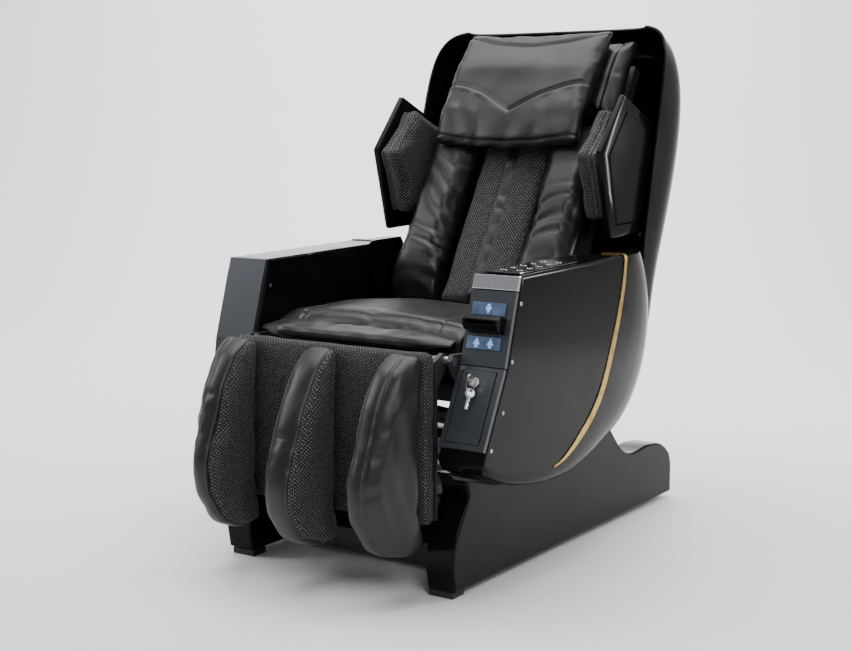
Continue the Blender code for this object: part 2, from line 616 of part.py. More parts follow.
def makeWings(back, black, leather):
    """The shoulder wings: a flat six-sided shell outside and a stack of air pads inside."""
    outline = [(0.280, 1.012), (0.170, 0.882), (0.222, 0.684), (0.398, 0.690), (0.462, 0.850), (0.425, 0.950)]
    inset = [(0.276, 0.990), (0.158, 0.878), (0.214, 0.716), (0.380, 0.712), (0.440, 0.850), (0.405, 0.935)]
    shell = prism("left_wing_shell", inBack(outline), 0.3000, 0.3165, black, back)
    roundEdges(shell, 0.005, 3)
    mirrored(shell, "right_wing_shell")
    pad = prism("left_wing_pad", inBack(inset), 0.2480, 0.2997, leather, back)
    roundEdges(pad, 0.008, 2)
    mirrored(pad, "right_wing_pad")


def inBack(outline):
    """World (y, z) points as the leaned back sees them."""
    points = []
    for y, z in outline:
        point = Vector((0, y - RECLINE_AXIS[0], z - RECLINE_AXIS[1]))
        point.rotate(Euler((BACK_TILT, 0, 0)))
        points.append((point.y, point.z))
    return points


def makeMassager(back, steel, black):
    rod("lead_screw", (0, 0.140, -0.050), (0, 0.140, 0.728), 0.007, steel, back, 12)
    slide = pivot("carriage_pivot", (0, 0, 0.330), 0, back)
    body = box("massage_carriage", (-0.114, 0.108, -0.045), (0.114, 0.128, 0.045), black, slide)
    shapes = [box("nut", (-0.022, 0.120, -0.020), (0.022, 0.158, 0.020), steel, slide)]
    for side in (-1, 1):
        low, high = sorted((side * 0.106, side * 0.117))
        shapes.append(box("shoe", (low, 0.084, -0.035), (high, 0.112, 0.035), steel, slide))
        low, high = sorted((side * 0.086, side * 0.094))
        shapes.append(box("cheek", (low, 0.090, -0.020), (high, 0.112, 0.020), steel, slide))
    shapes.append(acrossRod("cam_shaft", (0.098, 0), 0.110, 0.006, steel, slide))
    weld(body, *shapes)
    cut(body, rod("nut_bore", (0, 0.140, -0.1), (0, 0.140, 0.1), 0.0074, steel, slide))
    for side, name in ((1, "left"), (-1, "right")):
        head = pivot(f"{name}_knead_pivot", (side * 0.052, 0.098, 0), 0, slide)
        arm = [(-0.009, -0.010), (-0.014, -0.062), (-0.024, -0.062), (-0.026, -0.050), (-0.021, 0.0)]
        arm += [(-0.026, 0.050), (-0.024, 0.062), (-0.014, 0.062), (-0.009, 0.010), (0.0085, 0.008), (0.0085, -0.008)]
        plate = prism(f"{name}_kneading_head", arm, -0.007, 0.007, steel, head)
        wheels = [rod("roller", (-0.016, -0.020, z), (0.016, -0.020, z), 0.020, black, head, 20) for z in (-0.052, 0.052)]
        weld(plate, *wheels)
        cut(plate, acrossRod("cam_bore", (0, 0), 0.03, 0.0064, steel, head))


# ---- leg rest ----
def makeLegFrame(leg, steel):
    shapes = []
    ear = [(-0.034, 0.0), (-0.034, -0.060), (-0.028, -0.060), (0.012, -0.010), (0.015, 0.0), (0.010, 0.012), (-0.004, 0.014)]
    for side in (-1, 1):
        low, high = sorted((side * 0.236, side * 0.246))
        shapes.append(prism("leg_ear", ear, low, high, steel, leg))
        x = LEG_PUSH_X + side * 0.0265
        shapes.append(box("crank", (x - 0.0035, -0.034, -0.124), (x + 0.0035, 0.0290, -0.058), steel, leg))
    frame = weld(box("leg_frame", (-0.250, -0.0360, -0.322), (0.250, -0.0300, -0.030), steel, leg), *shapes)
    cut(frame, acrossRod("leg_bore", (0, 0), 0.30, SHAFT_RADIUS + GAP, steel, leg))
    middle = LEG_PUSH_PIN[0] - LEG_AXIS[0]
    half = 0.0092
    slot = box("slot", (-0.02, middle - half, -0.1101), (0.14, middle + half, -0.0687), steel, leg)
    return cut(frame, slot)


def legOutline(points):
    """World (y, z) points seen from the leg rest's axis."""
    return [(y - LEG_AXIS[0], z - LEG_AXIS[1]) for y, z in points]


def taperedPad(name, outline, rearSides, frontSides, material, leg):
    """A pad whose two side faces lean in from the backing pad to its front."""
    rear = max(y for y, _ in outline)
    front = min(y for y, _ in outline)
    loops = []
    for atRear, atFront in zip(rearSides, frontSides):
        loops.append([(atRear + (atFront - atRear) * (y - rear) / (front - rear), y, z) for y, z in outline])
    pad = loft(name, loops, material, leg)
    return roundEdges(pad, 0.014, 3)


def makeLegPads(leg, leather, mesh):
    box("calf_backing_pad", (-0.258, -0.0740, -0.334), (0.258, -0.0364, 0.026), mesh, leg, edge=0.012)
    outer = [(-0.4306, 0.096), (-0.4306, 0.503), (-0.462, 0.500)]
    outer += smoothLine([(-0.505, 0.472), (-0.552, 0.404), (-0.592, 0.301), (-0.604, 0.243), (-0.594, 0.185)], 8)
    outer += [(-0.545, 0.119), (-0.487, 0.094)]
    lobe = taperedPad("left_leg_pad", legOutline(outer), (0.170, 0.260), (0.174, 0.222), leather, leg)
    mirrored(lobe, "right_leg_pad")
    middle = [(-0.4306, 0.090), (-0.4306, 0.502), (-0.450, 0.498)]
    middle += smoothLine([(-0.488, 0.466), (-0.542, 0.386), (-0.580, 0.296), (-0.598, 0.228), (-0.590, 0.170)], 8)
    middle += [(-0.546, 0.112), (-0.484, 0.088)]
    taperedPad("middle_leg_pad", legOutline(middle), (-0.042, 0.042), (-0.038, 0.038), leather, leg)


# ---- actuators ----
def makeActuator(name, x, root, pin, tubeLength, eyeX, looks):
    """A push rod in its tube, drawn along local y from the root towards the pin."""
    steel, black = looks
    reach = Vector((0, pin[0] - root[0], pin[1] - root[1]))
    aim = math.atan2(reach.z, reach.y)
    tubeFrame = pivot(f"{name}_tube_pivot", (x, *root))
    tubeFrame.rotation_euler = (aim, 0, 0)
    tube = rod(f"{name}_actuator_tube", (0, 0.020, 0), (0, tubeLength, 0), 0.0190, black, tubeFrame, 20)
    tail = rod(f"{name}_trunnion", (-0.0245, 0, 0), (0.0245, 0, 0), 0.0060, steel, tubeFrame)
    neck = box(f"{name}_neck", (-0.012, -0.010, -0.010), (0.012, 0.030, 0.010), steel, tubeFrame)
    motor = rod(f"{name}_motor", (0, 0.055, -0.036), (0, 0.130, -0.036), 0.0200, black, tubeFrame, 20)
    weld(tube, tail, neck, motor)
    cut(tube, rod(f"{name}_tube_bore", (0, 0.034, 0), (0, tubeLength + 0.02, 0), 0.0110, steel, tubeFrame, 20))
    push = rod(f"{name}_actuator_rod", (0, reach.length - 0.012, 0), (0, eyeX, 0), 0.0100, steel, tubeFrame, 16)
    eye = rod(f"{name}_eye", (-0.0155, reach.length, 0), (0.0155, reach.length, 0), 0.0130, steel, tubeFrame)
    cross = rod(f"{name}_pin", (-0.0305, reach.length, 0), (0.0305, reach.length, 0), 0.0060, steel, tubeFrame)
    return weld(push, eye, cross)


def main():
    clearScene()
    black = finish("gloss_black", (0.010, 0.010, 0.011), 0.08)
    satin = finish("satin_grey", (0.040, 0.042, 0.046), 0.38)
    chrome = finish("polished_metal", (0.75, 0.76, 0.78), 0.10, 1.0)
    gold = finish("gold_trim", (0.50, 0.36, 0.12), 0.25, 1.0)
    leather = finish("black_leather", (0.014, 0.014, 0.015), 0.42)
    mesh = finish("mesh_fabric", (0.010, 0.010, 0.011), 0.85)
    steel = finish("steel", (0.45, 0.46, 0.48), 0.40, 1.0)
    rubber = finish("rubber", (0.015, 0.015, 0.015), 0.75)
    plastic = finish("matte_black", (0.020, 0.020, 0.021), 0.55)
    blue = finish("display", (0.10, 0.28, 0.55), 0.25)
    brass = finish("brass", (0.62, 0.50, 0.28), 0.30, 1.0)
    glass = finish("panel_glass", (0.02, 0.02, 0.022), 0.05)

    makeBaseFrame(steel)
    cover = makeBaseCover(black)
    mirrorCover(cover, black)
    makeFeet(rubber)
    makeWheels(steel, rubber)
    makeSeatFrame(steel)
    makeSeat(leather)
    makeUnderbody(black)
    makeInnards(steel, plastic, rubber)
    acrossRod("recline_shaft", RECLINE_AXIS, 0.2713, SHAFT_RADIUS, steel)
    acrossRod("leg_pivot_shaft", LEG_AXIS, 0.2713, SHAFT_RADIUS, steel)
    upper, lower = makeArms(black, gold, satin)
    makeTower(upper, lower, (satin, chrome, plastic, blue, steel, brass))
    makeControlPanel(glass)

    back = pivot("back_pivot", (0, *RECLINE_AXIS), BACK_TILT)
    makeBackShell(back, black)
    makeBackFrame(back, steel)
    makeBackPads(back, leather, mesh)
    makeWings(back, black, leather)
    makeMassager(back, steel, plastic)

    leg = pivot("leg_pivot", (0, *LEG_AXIS))
    makeLegFrame(leg, steel)
    makeLegPads(leg, leather, mesh)
    looks = (steel, plastic)
    makeActuator("leg", LEG_PUSH_X, LEG_PUSH_ROOT, LEG_PUSH_PIN, 0.330, 0.160, looks)
    makeActuator("recline", BACK_PUSH_X, BACK_PUSH_ROOT, BACK_PUSH_PIN, 0.250, 0.110, looks)
    centreChair()


def centreChair():
    """Moves the whole chair so that the origin is under the middle of its box."""
    loose = [item for item in bpy.data.objects if item.parent is None]
    centre = pivot("chair_centre", (0, CENTRE_SHIFT, 0))
    for item in loose:
        item.parent = centre


def mirrorCover(cover, black):
    """The right base cover: the left one's outline, hollow and axle hole on the other side."""
    twin = mirrored(cover, "right_base_cover")
    for helper in ("left_cover_hollow", "left_cover_step", "left_cover_bore"):
        other = mirrored(bpy.data.objects[helper], helper.replace("left", "right"))
        cut(twin, other)


main()
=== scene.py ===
import math

import bpy
import numpy as np
from mathutils import Matrix, Vector
from mathutils.bvhtree import BVHTree


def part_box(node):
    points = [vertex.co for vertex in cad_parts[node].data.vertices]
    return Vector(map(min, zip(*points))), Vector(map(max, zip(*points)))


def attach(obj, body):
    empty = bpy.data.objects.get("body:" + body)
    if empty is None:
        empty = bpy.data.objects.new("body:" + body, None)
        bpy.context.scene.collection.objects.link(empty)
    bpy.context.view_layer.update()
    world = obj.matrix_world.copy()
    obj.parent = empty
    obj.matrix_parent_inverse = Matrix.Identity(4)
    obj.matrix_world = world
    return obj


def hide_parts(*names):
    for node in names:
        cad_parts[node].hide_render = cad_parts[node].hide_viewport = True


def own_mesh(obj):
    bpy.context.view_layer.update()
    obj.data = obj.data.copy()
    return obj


# A coin-operated massage chair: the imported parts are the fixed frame, the looks are made here.
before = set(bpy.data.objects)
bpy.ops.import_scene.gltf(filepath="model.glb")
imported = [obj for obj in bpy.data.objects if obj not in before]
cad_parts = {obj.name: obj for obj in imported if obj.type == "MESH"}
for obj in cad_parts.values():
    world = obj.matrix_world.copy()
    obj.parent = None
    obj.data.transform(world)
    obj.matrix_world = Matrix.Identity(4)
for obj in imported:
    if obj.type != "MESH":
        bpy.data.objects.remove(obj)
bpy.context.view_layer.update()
scene = bpy.context.scene

# the leaned back: its hinge, and the ways to the rear and up along it
backHinge = np.array([0, 0.075, 0.500])
backRear = np.array([0, math.cos(math.radians(30)), -math.sin(math.radians(30))])
backUp = np.array([0, math.sin(math.radians(30)), math.cos(math.radians(30))])
upperTilt = math.radians(16.45)
lowerTilt = math.radians(27)


def deselect():
    if bpy.context.mode != "OBJECT":
        bpy.ops.object.mode_set(mode="OBJECT")
    bpy.ops.object.select_all(action="DESELECT")


def use(piece):
    deselect()
    piece.select_set(True)
    bpy.context.view_layer.objects.active = piece
    return piece


def named(name):
    # the primitive that was just added, in metres and with its place in its mesh
    piece = bpy.context.active_object
    piece.name = name
    piece.data.name = name
    bpy.ops.object.transform_apply(location=True, rotation=True, scale=True)
    return piece


def applyAll(piece):
    use(piece)
    for modifier in list(piece.modifiers):
        bpy.ops.object.modifier_apply(modifier=modifier.name)
    return piece


def copyNode(node, name):
    piece = bpy.data.objects.new(name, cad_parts[node].data.copy())
    bpy.context.collection.objects.link(piece)
    piece.data.materials.clear()
    use(piece)
    bpy.ops.mesh.customdata_custom_splitnormals_clear()
    bpy.ops.object.mode_set(mode="EDIT")
    bpy.ops.mesh.select_all(action="SELECT")
    bpy.ops.mesh.remove_doubles(threshold=0.00003)
    bpy.ops.object.mode_set(mode="OBJECT")
    return piece


def smoothBy(piece, degrees):
    use(piece)
    bpy.ops.object.shade_smooth_by_angle(angle=math.radians(degrees))
    return piece


def join(name, pieces):
    use(pieces[0])
    for piece in pieces:
        piece.select_set(True)
    if len(pieces) > 1:
        bpy.ops.object.join()
    pieces[0].name = name
    pieces[0].data.name = name
    return pieces[0]


def points(piece):
    spots = np.empty(len(piece.data.vertices) * 3)
    piece.data.vertices.foreach_get("co", spots)
    return spots.reshape(-1, 3)


def normals(piece):
    ways = np.empty(len(piece.data.vertices) * 3)
    piece.data.vertices.foreach_get("normal", ways)
    return ways.reshape(-1, 3)


def putPoints(piece, spots):
    piece.data.vertices.foreach_set("co", spots.ravel())
    piece.data.update()


def push(piece, distance):
    # moves every point along its normal
    putPoints(piece, points(piece) + normals(piece) * np.asarray(distance).reshape(-1, 1))


def inBack(spots):
    # across, rearward and up as the leaned back sees them
    away = spots - backHinge
    return spots[:, 0], away @ backRear, away @ backUp


def fromBack(x, rearward, up):
    return backHinge + np.array([x, 0, 0]) + backRear * rearward + backUp * up


def ripple(spots, size, seed, waves=9):
    # smooth noise of about -1 to 1 whose swells are size metres long
    draw = np.random.default_rng(seed)
    ways = draw.normal(size=(waves, 3))
    ways /= np.linalg.norm(ways, axis=1)[:, None]
    ways *= 2 * np.pi / size * draw.uniform(0.7, 1.3, (waves, 1))
    return np.sin(spots @ ways.T + draw.uniform(0, 2 * np.pi, waves)).sum(axis=1) / math.sqrt(waves)


def ramp(values, low, high):
    part = np.clip((values - low) / (high - low), 0, 1)
    return part * part * (3 - 2 * part)


def crease(phase, softness=0.04):
    # 1 at the bottom of a fold and 0 on its back, sharp below and round above
    return 1 - np.sqrt(np.sin(phase / 2) ** 2 + softness) / math.sqrt(1 + softness)


def settle(piece, finish, body, slot, *replaced):
    piece.data.materials.clear()
    piece.data.materials.append(finish)
    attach(piece, body)
    if replaced:
        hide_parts(*replaced)
    return piece


def puff(piece, sizes):
    # a padded cover: remeshed, blown up by air, held to a limit and subdivided once
    remesh = piece.modifiers.new("Remesh", "REMESH")
    remesh.mode = "VOXEL"
    remesh.voxel_size = sizes["weave"]
    remesh.use_smooth_shade = True
    applyAll(piece)
    relax = piece.modifiers.new("Relax", "SMOOTH")
    relax.factor = 0.5
    relax.iterations = sizes.get("relax", 3)
    applyAll(piece)
    push(piece, np.full(len(piece.data.vertices), -sizes["inset"]))
    start = points(piece)
    cloth = piece.modifiers.new("Cloth", "CLOTH")
    cloth.settings.quality = 5
    cloth.settings.mass = 0.3
    cloth.settings.bending_stiffness = 0.5
    cloth.settings.use_pressure = True
    cloth.settings.uniform_pressure_force = sizes.get("pressure", 4.0)
    cloth.settings.effector_weights.gravity = 0
    cloth.point_cache.frame_start = 1
    cloth.point_cache.frame_end = 20
    for number in range(1, 21):
        scene.frame_set(number)
    applyAll(piece)
    scene.frame_set(1)
    moved = points(piece) - start
    length = np.linalg.norm(moved, axis=1)
    share = np.minimum(1, sizes["limit"] / np.maximum(length, 1e-9))
    putPoints(piece, start + moved * share[:, None])
    calm = piece.modifiers.new("Calm", "SMOOTH")
    calm.factor = 0.5
    calm.iterations = sizes.get("calm", 6)
    applyAll(piece)
    finer = piece.modifiers.new("Finer", "SUBSURF")
    finer.levels = 1
    finer.render_levels = 1
    applyAll(piece)
    use(piece)
    bpy.ops.object.shade_smooth()
    print(piece.name, len(piece.data.vertices), "points")
    return piece


def groove(piece, away, depth, width):
    push(piece, -depth * np.exp(-((away / width) ** 2)))


def treeOf(piece):
    return BVHTree.FromObject(piece, bpy.context.evaluated_depsgraph_get())


def trace(piece, starts, way):
    # where rays from the starts first meet the piece, with the surface's normals there
    tree = treeOf(piece)
    found = []
    for start in starts:
        spot, normal, _, _ = tree.ray_cast(Vector(start), Vector(way))
        if spot is not None:
            found.append((spot, normal))
    return found


def traceRound(piece, x, centre, fromDegrees, toDegrees, count):
    # the piece's outline in the plane at x, seen from a centre (y, z) inside it
    tree = treeOf(piece)
    found = []
    for i in range(count + 1):
        turn = math.radians(fromDegrees + (toDegrees - fromDegrees) * i / count)
        way = Vector((0, math.cos(turn), math.sin(turn)))
        far = Vector((x, *centre)) + way * 0.9
        spot, normal, _, _ = tree.ray_cast(far, -way)
        if spot is not None:
            found.append((spot, normal))
    return found


def evenPath(found, step):
    # the traced line again with points step apart
    spots = np.array([tuple(spot) for spot, _ in found])
    ways = np.array([tuple(normal) for _, normal in found])
    gaps = np.linalg.norm(np.diff(spots, axis=0), axis=1)
    along = np.concatenate([[0], np.cumsum(gaps)])
    wanted = np.arange(0, along[-1], step)
    even = np.stack([np.interp(wanted, along, spots[:, i]) for i in range(3)], axis=1)
    facing = np.stack([np.interp(wanted, along, ways[:, i]) for i in range(3)], axis=1)
    return even, facing / np.linalg.norm(facing, axis=1)[:, None]


def piping(name, found, radius, sink=0.3, closed=False):
    # a thin rounded cord laid along a traced line
    even, facing = evenPath(found, 0.006)
    curve = bpy.data.curves.new(name, "CURVE")
    curve.dimensions = "3D"
    curve.bevel_depth = radius
    curve.bevel_resolution = 2
    curve.use_fill_caps = True
    spline = curve.splines.new("POLY")
    spline.points.add(len(even) - 1)
    for point, spot in zip(spline.points, even - facing * radius * sink):
        point.co = (*spot, 1)
    spline.use_cyclic_u = closed
    piece = bpy.data.objects.new(name, curve)
    bpy.context.collection.objects.link(piece)
    use(piece)
    bpy.ops.object.convert(target="MESH")
    return smoothBy(bpy.context.active_object, 60)


def stitches(name, found, length=0.0042, gap=0.0018, radius=0.0005):
    # short threads along a traced line, each a small bean copied from the first
    even, facing = evenPath(found, length + gap)
    deselect()
    bpy.ops.mesh.primitive_uv_sphere_add(segments=6, ring_count=4, radius=radius)
    bean = named(name)
    shape = points(bean)
    faces = [list(face.vertices) for face in bean.data.polygons]
    spots, sides = [], []
    for i in range(len(even) - 1):
        along = even[i + 1] - even[i]
        along /= max(np.linalg.norm(along), 1e-9)
        across = np.cross(along, facing[i])
        frameWays = np.stack([along * length / (2 * radius), across, facing[i]])
        first = len(spots) * len(shape)
        spots.append(shape @ frameWays + even[i] + along * length / 2 + facing[i] * radius * 0.2)
        sides += [[first + corner for corner in face] for face in faces]
    mesh = bpy.data.meshes.new(name)
    mesh.from_pydata([tuple(spot) for spot in np.concatenate(spots)], [], sides)
    mesh.shade_smooth()
    bean.data = mesh
    use(bean)
    bpy.ops.object.mode_set(mode="EDIT")
    bpy.ops.mesh.select_all(action="SELECT")
    bpy.ops.mesh.normals_make_consistent(inside=False)
    bpy.ops.object.mode_set(mode="OBJECT")
    return bean


class Wire:
    # one socket, so that sums of values read as sums
    def __init__(self, finish, socket):
        self.finish = finish
        self.socket = socket

    def math(self, kind, *others):
        inputs = {i: value for i, value in enumerate((self, *others))}
        return self.finish.node("Math", {"operation": kind}, inputs)

    def __add__(self, other):
        return self.math("ADD", other)

    __radd__ = __add__

    def __mul__(self, other):
        return self.math("MULTIPLY", other)

    __rmul__ = __mul__

    def __sub__(self, other):
        return self.math("SUBTRACT", other)

    def __rsub__(self, other):
        return self.finish.node("Math", {"operation": "SUBTRACT"}, {0: other, 1: self})

    def __lt__(self, other):
        return self.math("LESS_THAN", other)

    def __gt__(self, other):
        return self.math("GREATER_THAN", other)


class Finish:
    def __init__(self, name):
        self.material = bpy.data.materials.new(name)
        self.material.use_nodes = True
        self.tree = self.material.node_tree
        self.tree.nodes.clear()
        self.place = self.node("TexCoord", out="Object")

    def node(self, kind, settings=None, inputs=None, out=0):
        made = self.tree.nodes.new("ShaderNode" + kind)
        for key, value in (settings or {}).items():
            if key == "stops":
                for element, (position, colour) in zip(made.color_ramp.elements, value):
                    element.position = position
                    element.color = (*colour, 1)
            else:
                setattr(made, key, value)
        for key, value in (inputs or {}).items():
            if isinstance(value, Wire):
                self.tree.links.new(value.socket, made.inputs[key])
            elif isinstance(value, tuple) and len(value) == 3 and made.inputs[key].type == "RGBA":
                made.inputs[key].default_value = (*value, 1)
            else:
                made.inputs[key].default_value = value
        return Wire(self, made.outputs[out])

    def noise(self, scale, detail=2.0, stretch=None):
        where = self.place
        if stretch:
            where = self.node("Mapping", {}, {"Vector": where, "Scale": stretch})
        return self.node("TexNoise", {}, {"Vector": where, "Scale": scale, "Detail": detail})

    def cells(self, scale, feature="F1", randomness=1.0):
        inputs = {"Vector": self.place, "Scale": scale, "Randomness": randomness}
        return self.node("TexVoronoi", {"feature": feature}, inputs)

    def span(self, value, low, high, start=0.0, end=1.0):
        # value's stretch from low to high, eased onto start to end
        inputs = {"Value": value, "From Min": low, "From Max": high, "To Min": start, "To Max": end}
        return self.node("MapRange", {"interpolation_type": "SMOOTHSTEP"}, inputs)

    def tint(self, part, first, second):
        return self.node("Mix", {"data_type": "RGBA"}, {0: part, 6: first, 7: second}, out=2)

    def bump(self, height, strength, distance, under=None):
        inputs = {"Height": height, "Strength": strength, "Distance": distance}
        if under:
            inputs["Normal"] = under
        return self.node("Bump", {}, inputs)

    def principled(self, **sockets):
        inputs = {key.replace("_", " "): value for key, value in sockets.items()}
        return self.node("BsdfPrincipled", {}, inputs)

    def done(self, shader):
        output = self.tree.nodes.new("ShaderNodeOutputMaterial")
        self.tree.links.new(shader.socket, output.inputs["Surface"])
        return self.material


def glossShader(finish, colour):
    haze = finish.span(finish.noise(7.0, 4.0), 0.45, 0.75)
    scratches = finish.span(finish.noise(1.0, 2.0, (60, 60, 900)), 0.66, 0.72)
    peel = finish.noise(190.0, 1.0)
    return finish.principled(
        Base_Color=finish.tint(haze * 0.5, colour, tuple(part * 1.7 + 0.003 for part in colour)),
        Roughness=0.16 + haze * 0.08 + scratches * 0.10,
        Normal=finish.bump(peel, 0.05, 0.0006),
        Specular_IOR_Level=0.04,
        Coat_Weight=0.28 - haze * 0.07,
        Coat_Roughness=0.02,
        Coat_IOR=1.28,
        IOR=1.5,
    )


def glossBlack():
    finish = Finish("gloss_black_plastic")
    return finish.done(glossShader(finish, (0.0040, 0.0038, 0.0038)))


def satinPaint():
    finish = Finish("satin_blue_grey_paint")
    grain = finish.noise(1500.0, 1.0)
    cloud = finish.noise(9.0, 4.0)
    brushed = finish.noise(1.0, 3.0, (1400, 12, 12))
    return finish.done(
        finish.principled(
            Base_Color=finish.tint(cloud, (0.030, 0.034, 0.042), (0.048, 0.053, 0.064)),
            Metallic=0.45,
            Roughness=0.30 + cloud * 0.10 + brushed * 0.06,
            Normal=finish.bump(grain + brushed * 0.5, 0.10, 0.0002),
            Coat_Weight=0.25,
            Coat_Roughness=0.18,
        )
    )


def metal(name, dark, light, roughness, stretch, strength=0.08):
    finish = Finish(name)
    lines = finish.noise(1.0, 4.0, stretch)
    wear = finish.span(finish.noise(38.0, 5.0), 0.50, 0.70)
    return finish.done(
        finish.principled(
            Base_Color=finish.tint(wear * 0.6 + lines * 0.4, light, dark),
            Metallic=1.0,
            Roughness=roughness + lines * 0.10 + wear * 0.12,
            Normal=finish.bump(lines, strength, 0.0002),
        )
    )


def leatherShader(finish, colour):
    pebbles = finish.span(finish.cells(520.0, "DISTANCE_TO_EDGE"), 0.0, 0.22)
    pores = finish.noise(1600.0, 2.0)
    cloud = finish.noise(11.0, 4.0)
    rubbed = finish.span(finish.noise(26.0, 5.0), 0.48, 0.72)
    soft = finish.noise(120.0, 3.0)
    fine = finish.bump(pebbles * 0.8 + pores * 0.2, 0.16, 0.0004)
    return finish.principled(
        Base_Color=finish.tint(cloud * 0.6 + rubbed * 0.4, colour, tuple(part * 1.9 for part in colour)),
        Roughness=0.34 + cloud * 0.10 + rubbed * 0.06 - pebbles * 0.04,
        Normal=finish.bump(soft, 0.08, 0.0010, fine),
        Specular_IOR_Level=0.40,
        IOR=1.5,
    )


def leather():
    finish = Finish("black_soft_leather")
    return finish.done(leatherShader(finish, (0.0060, 0.0057, 0.0058)))


meshKnit = {"dots": 860.0, "rows": 2600.0}  # radians to the metre


def meshShader(finish):
    # black knit with a light thread showing every few millimetres, on whichever side faces out
    waves, turned = [], []
    facing = finish.node("TexCoord", out="Normal")
    for axis in range(3):
        along = finish.node("SeparateXYZ", {}, {0: finish.place}, out=axis)
        waves.append((along * meshKnit["dots"]).math("SINE"))
        turned.append(finish.node("SeparateXYZ", {}, {0: facing}, out=axis).math("ABSOLUTE"))
    front = turned[1] > 0.62
    side = (1 - front) * (turned[0] > 0.60)
    flat = (1 - front) * (1 - side)
    spots = waves[0] * waves[2] * front + waves[1] * waves[2] * side + waves[0] * waves[1] * flat
    threads = finish.span(spots, 0.62, 0.84)
    strong = finish.span(finish.noise(260.0, 1.0), 0.34, 0.62, 0.25, 1.0)
    rows = finish.node("SeparateXYZ", {}, {0: finish.place}, out=2)
    knit = (rows * meshKnit["rows"]).math("SINE") + finish.noise(900.0, 2.0)
    cloud = finish.noise(14.0, 3.0)
    ground = finish.tint(cloud, (0.0040, 0.0037, 0.0040), (0.0095, 0.0088, 0.0092))
    return finish.principled(
        Base_Color=finish.tint(threads * strong, ground, (0.30, 0.29, 0.30)),
        Roughness=0.80 + cloud * 0.12 - threads * 0.2,
        Normal=finish.bump(knit * 0.3 + threads, 0.35, 0.0006),
        Sheen_Weight=0.03,
        Sheen_Roughness=0.5,
    )


def meshFabric():
    finish = Finish("speckled_mesh")
    return finish.done(meshShader(finish))


def padCover(name, lowX, highX):
    # leather between two seams, mesh past them
    finish = Finish(name)
    across = finish.node("SeparateXYZ", {}, {0: finish.place}, out=0)
    past = (across < lowX) + (across > highX)
    inputs = {0: past, 1: leatherShader(finish, (0.0068, 0.0065, 0.0066)), 2: meshShader(finish)}
    return finish.done(finish.node("MixShader", {}, inputs))


def plastic(name, colour, roughness, grainScale=1400.0, strength=0.25):
    finish = Finish(name)
    grain = finish.noise(grainScale, 2.0)
    scuffs = finish.span(finish.noise(30.0, 5.0), 0.52, 0.70)
    return finish.done(
        finish.principled(
            Base_Color=finish.tint(scuffs * 0.6, colour, tuple(part * 1.6 + 0.006 for part in colour)),
            Roughness=roughness + scuffs * 0.12 + grain * 0.05,
            Normal=finish.bump(grain, strength, 0.0003),
        )
    )


def panelGlass():
    finish = Finish("touch_panel_glass")
    smears = finish.span(finish.noise(22.0, 5.0), 0.50, 0.72)
    return finish.done(
        finish.principled(
            Base_Color=finish.tint(smears * 0.4, (0.006, 0.006, 0.007), (0.016, 0.016, 0.018)),
            Roughness=0.05 + smears * 0.12,
            Normal=finish.bump(finish.noise(60.0, 1.0), 0.02, 0.0004),
            Coat_Weight=1.0,
            Coat_Roughness=0.02,
        )
    )


def litDisplay():
    finish = Finish("lit_blue_display")
    glow = finish.span(finish.noise(30.0, 2.0), 0.30, 0.70)
    rows = finish.node("SeparateXYZ", {}, {0: finish.place}, out=0)
    lines = finish.span((rows * 5200.0).math("SINE"), -1.0, 1.0)
    blue = finish.tint(glow, (0.035, 0.060, 0.110), (0.075, 0.120, 0.200))
    return finish.done(
        finish.principled(
            Base_Color=blue,
            Roughness=0.18 + glow * 0.06 + lines * 0.02,
            Emission_Color=finish.tint(lines * 0.3, blue, (0.110, 0.190, 0.330)),
            Emission_Strength=0.30,
            Coat_Weight=0.6,
            Coat_Roughness=0.05,
        )
    )


def litMark():
    finish = Finish("lit_white_mark")
    glow = finish.noise(400.0, 2.0)
    white = finish.tint(glow, (0.16, 0.34, 0.66), (0.26, 0.48, 0.80))
    return finish.done(
        finish.principled(
            Base_Color=white, Roughness=0.30 + glow * 0.1, Emission_Color=white, Emission_Strength=0.6
        )
    )


print("stage: finishes")
black = glossBlack()
satin = satinPaint()
chrome = metal("polished_bevel_metal", (0.42, 0.44, 0.48), (0.72, 0.74, 0.78), 0.10, (700, 8, 8))
gold = metal("satin_gold_trim", (0.20, 0.13, 0.03), (0.50, 0.34, 0.10), 0.22, (900, 40, 40))
steel = metal("brushed_steel", (0.28, 0.29, 0.30), (0.52, 0.53, 0.55), 0.28, (30, 30, 1200), 0.12)
brass = metal("worn_nickel_key", (0.30, 0.28, 0.24), (0.62, 0.59, 0.53), 0.20, (300, 300, 300))
paintedSteel = plastic("charcoal_powder_coat", (0.020, 0.021, 0.023), 0.48, 900.0, 0.35)
rubber = plastic("worn_rubber", (0.012, 0.012, 0.012), 0.72, 700.0, 0.4)
matte = plastic("matte_black_plastic", (0.014, 0.014, 0.015), 0.50)
glass = panelGlass()
display = litDisplay()
mark = litMark()
hide = leather()
mesh = meshFabric()
thread = plastic("grey_sewing_thread", (0.060, 0.058, 0.060), 0.60, 2600.0)
lightPiping = plastic("grey_piping", (0.045, 0.043, 0.045), 0.45, 1800.0)

slotFinishes = {
    "gloss_black": black,
    "satin_grey": satin,
    "polished_metal": chrome,
    "gold_trim": gold,
    "black_leather": hide,
    "mesh_fabric": mesh,
    "steel": steel,
    "painted_steel": paintedSteel,
    "rubber": rubber,
    "matte_black": matte,
    "display": display,
    "brass": brass,
    "panel_glass": glass,
}
for nodeName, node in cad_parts.items():
    for materialSlot in node.material_slots:
        materialSlot.material = slotFinishes[materialSlot.material.name.split(".")[0]]
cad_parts["bill_acceptor"].material_slots[0].material = black


wingSizes = {"panelInset": 0.024, "panelRise": 0.0030}


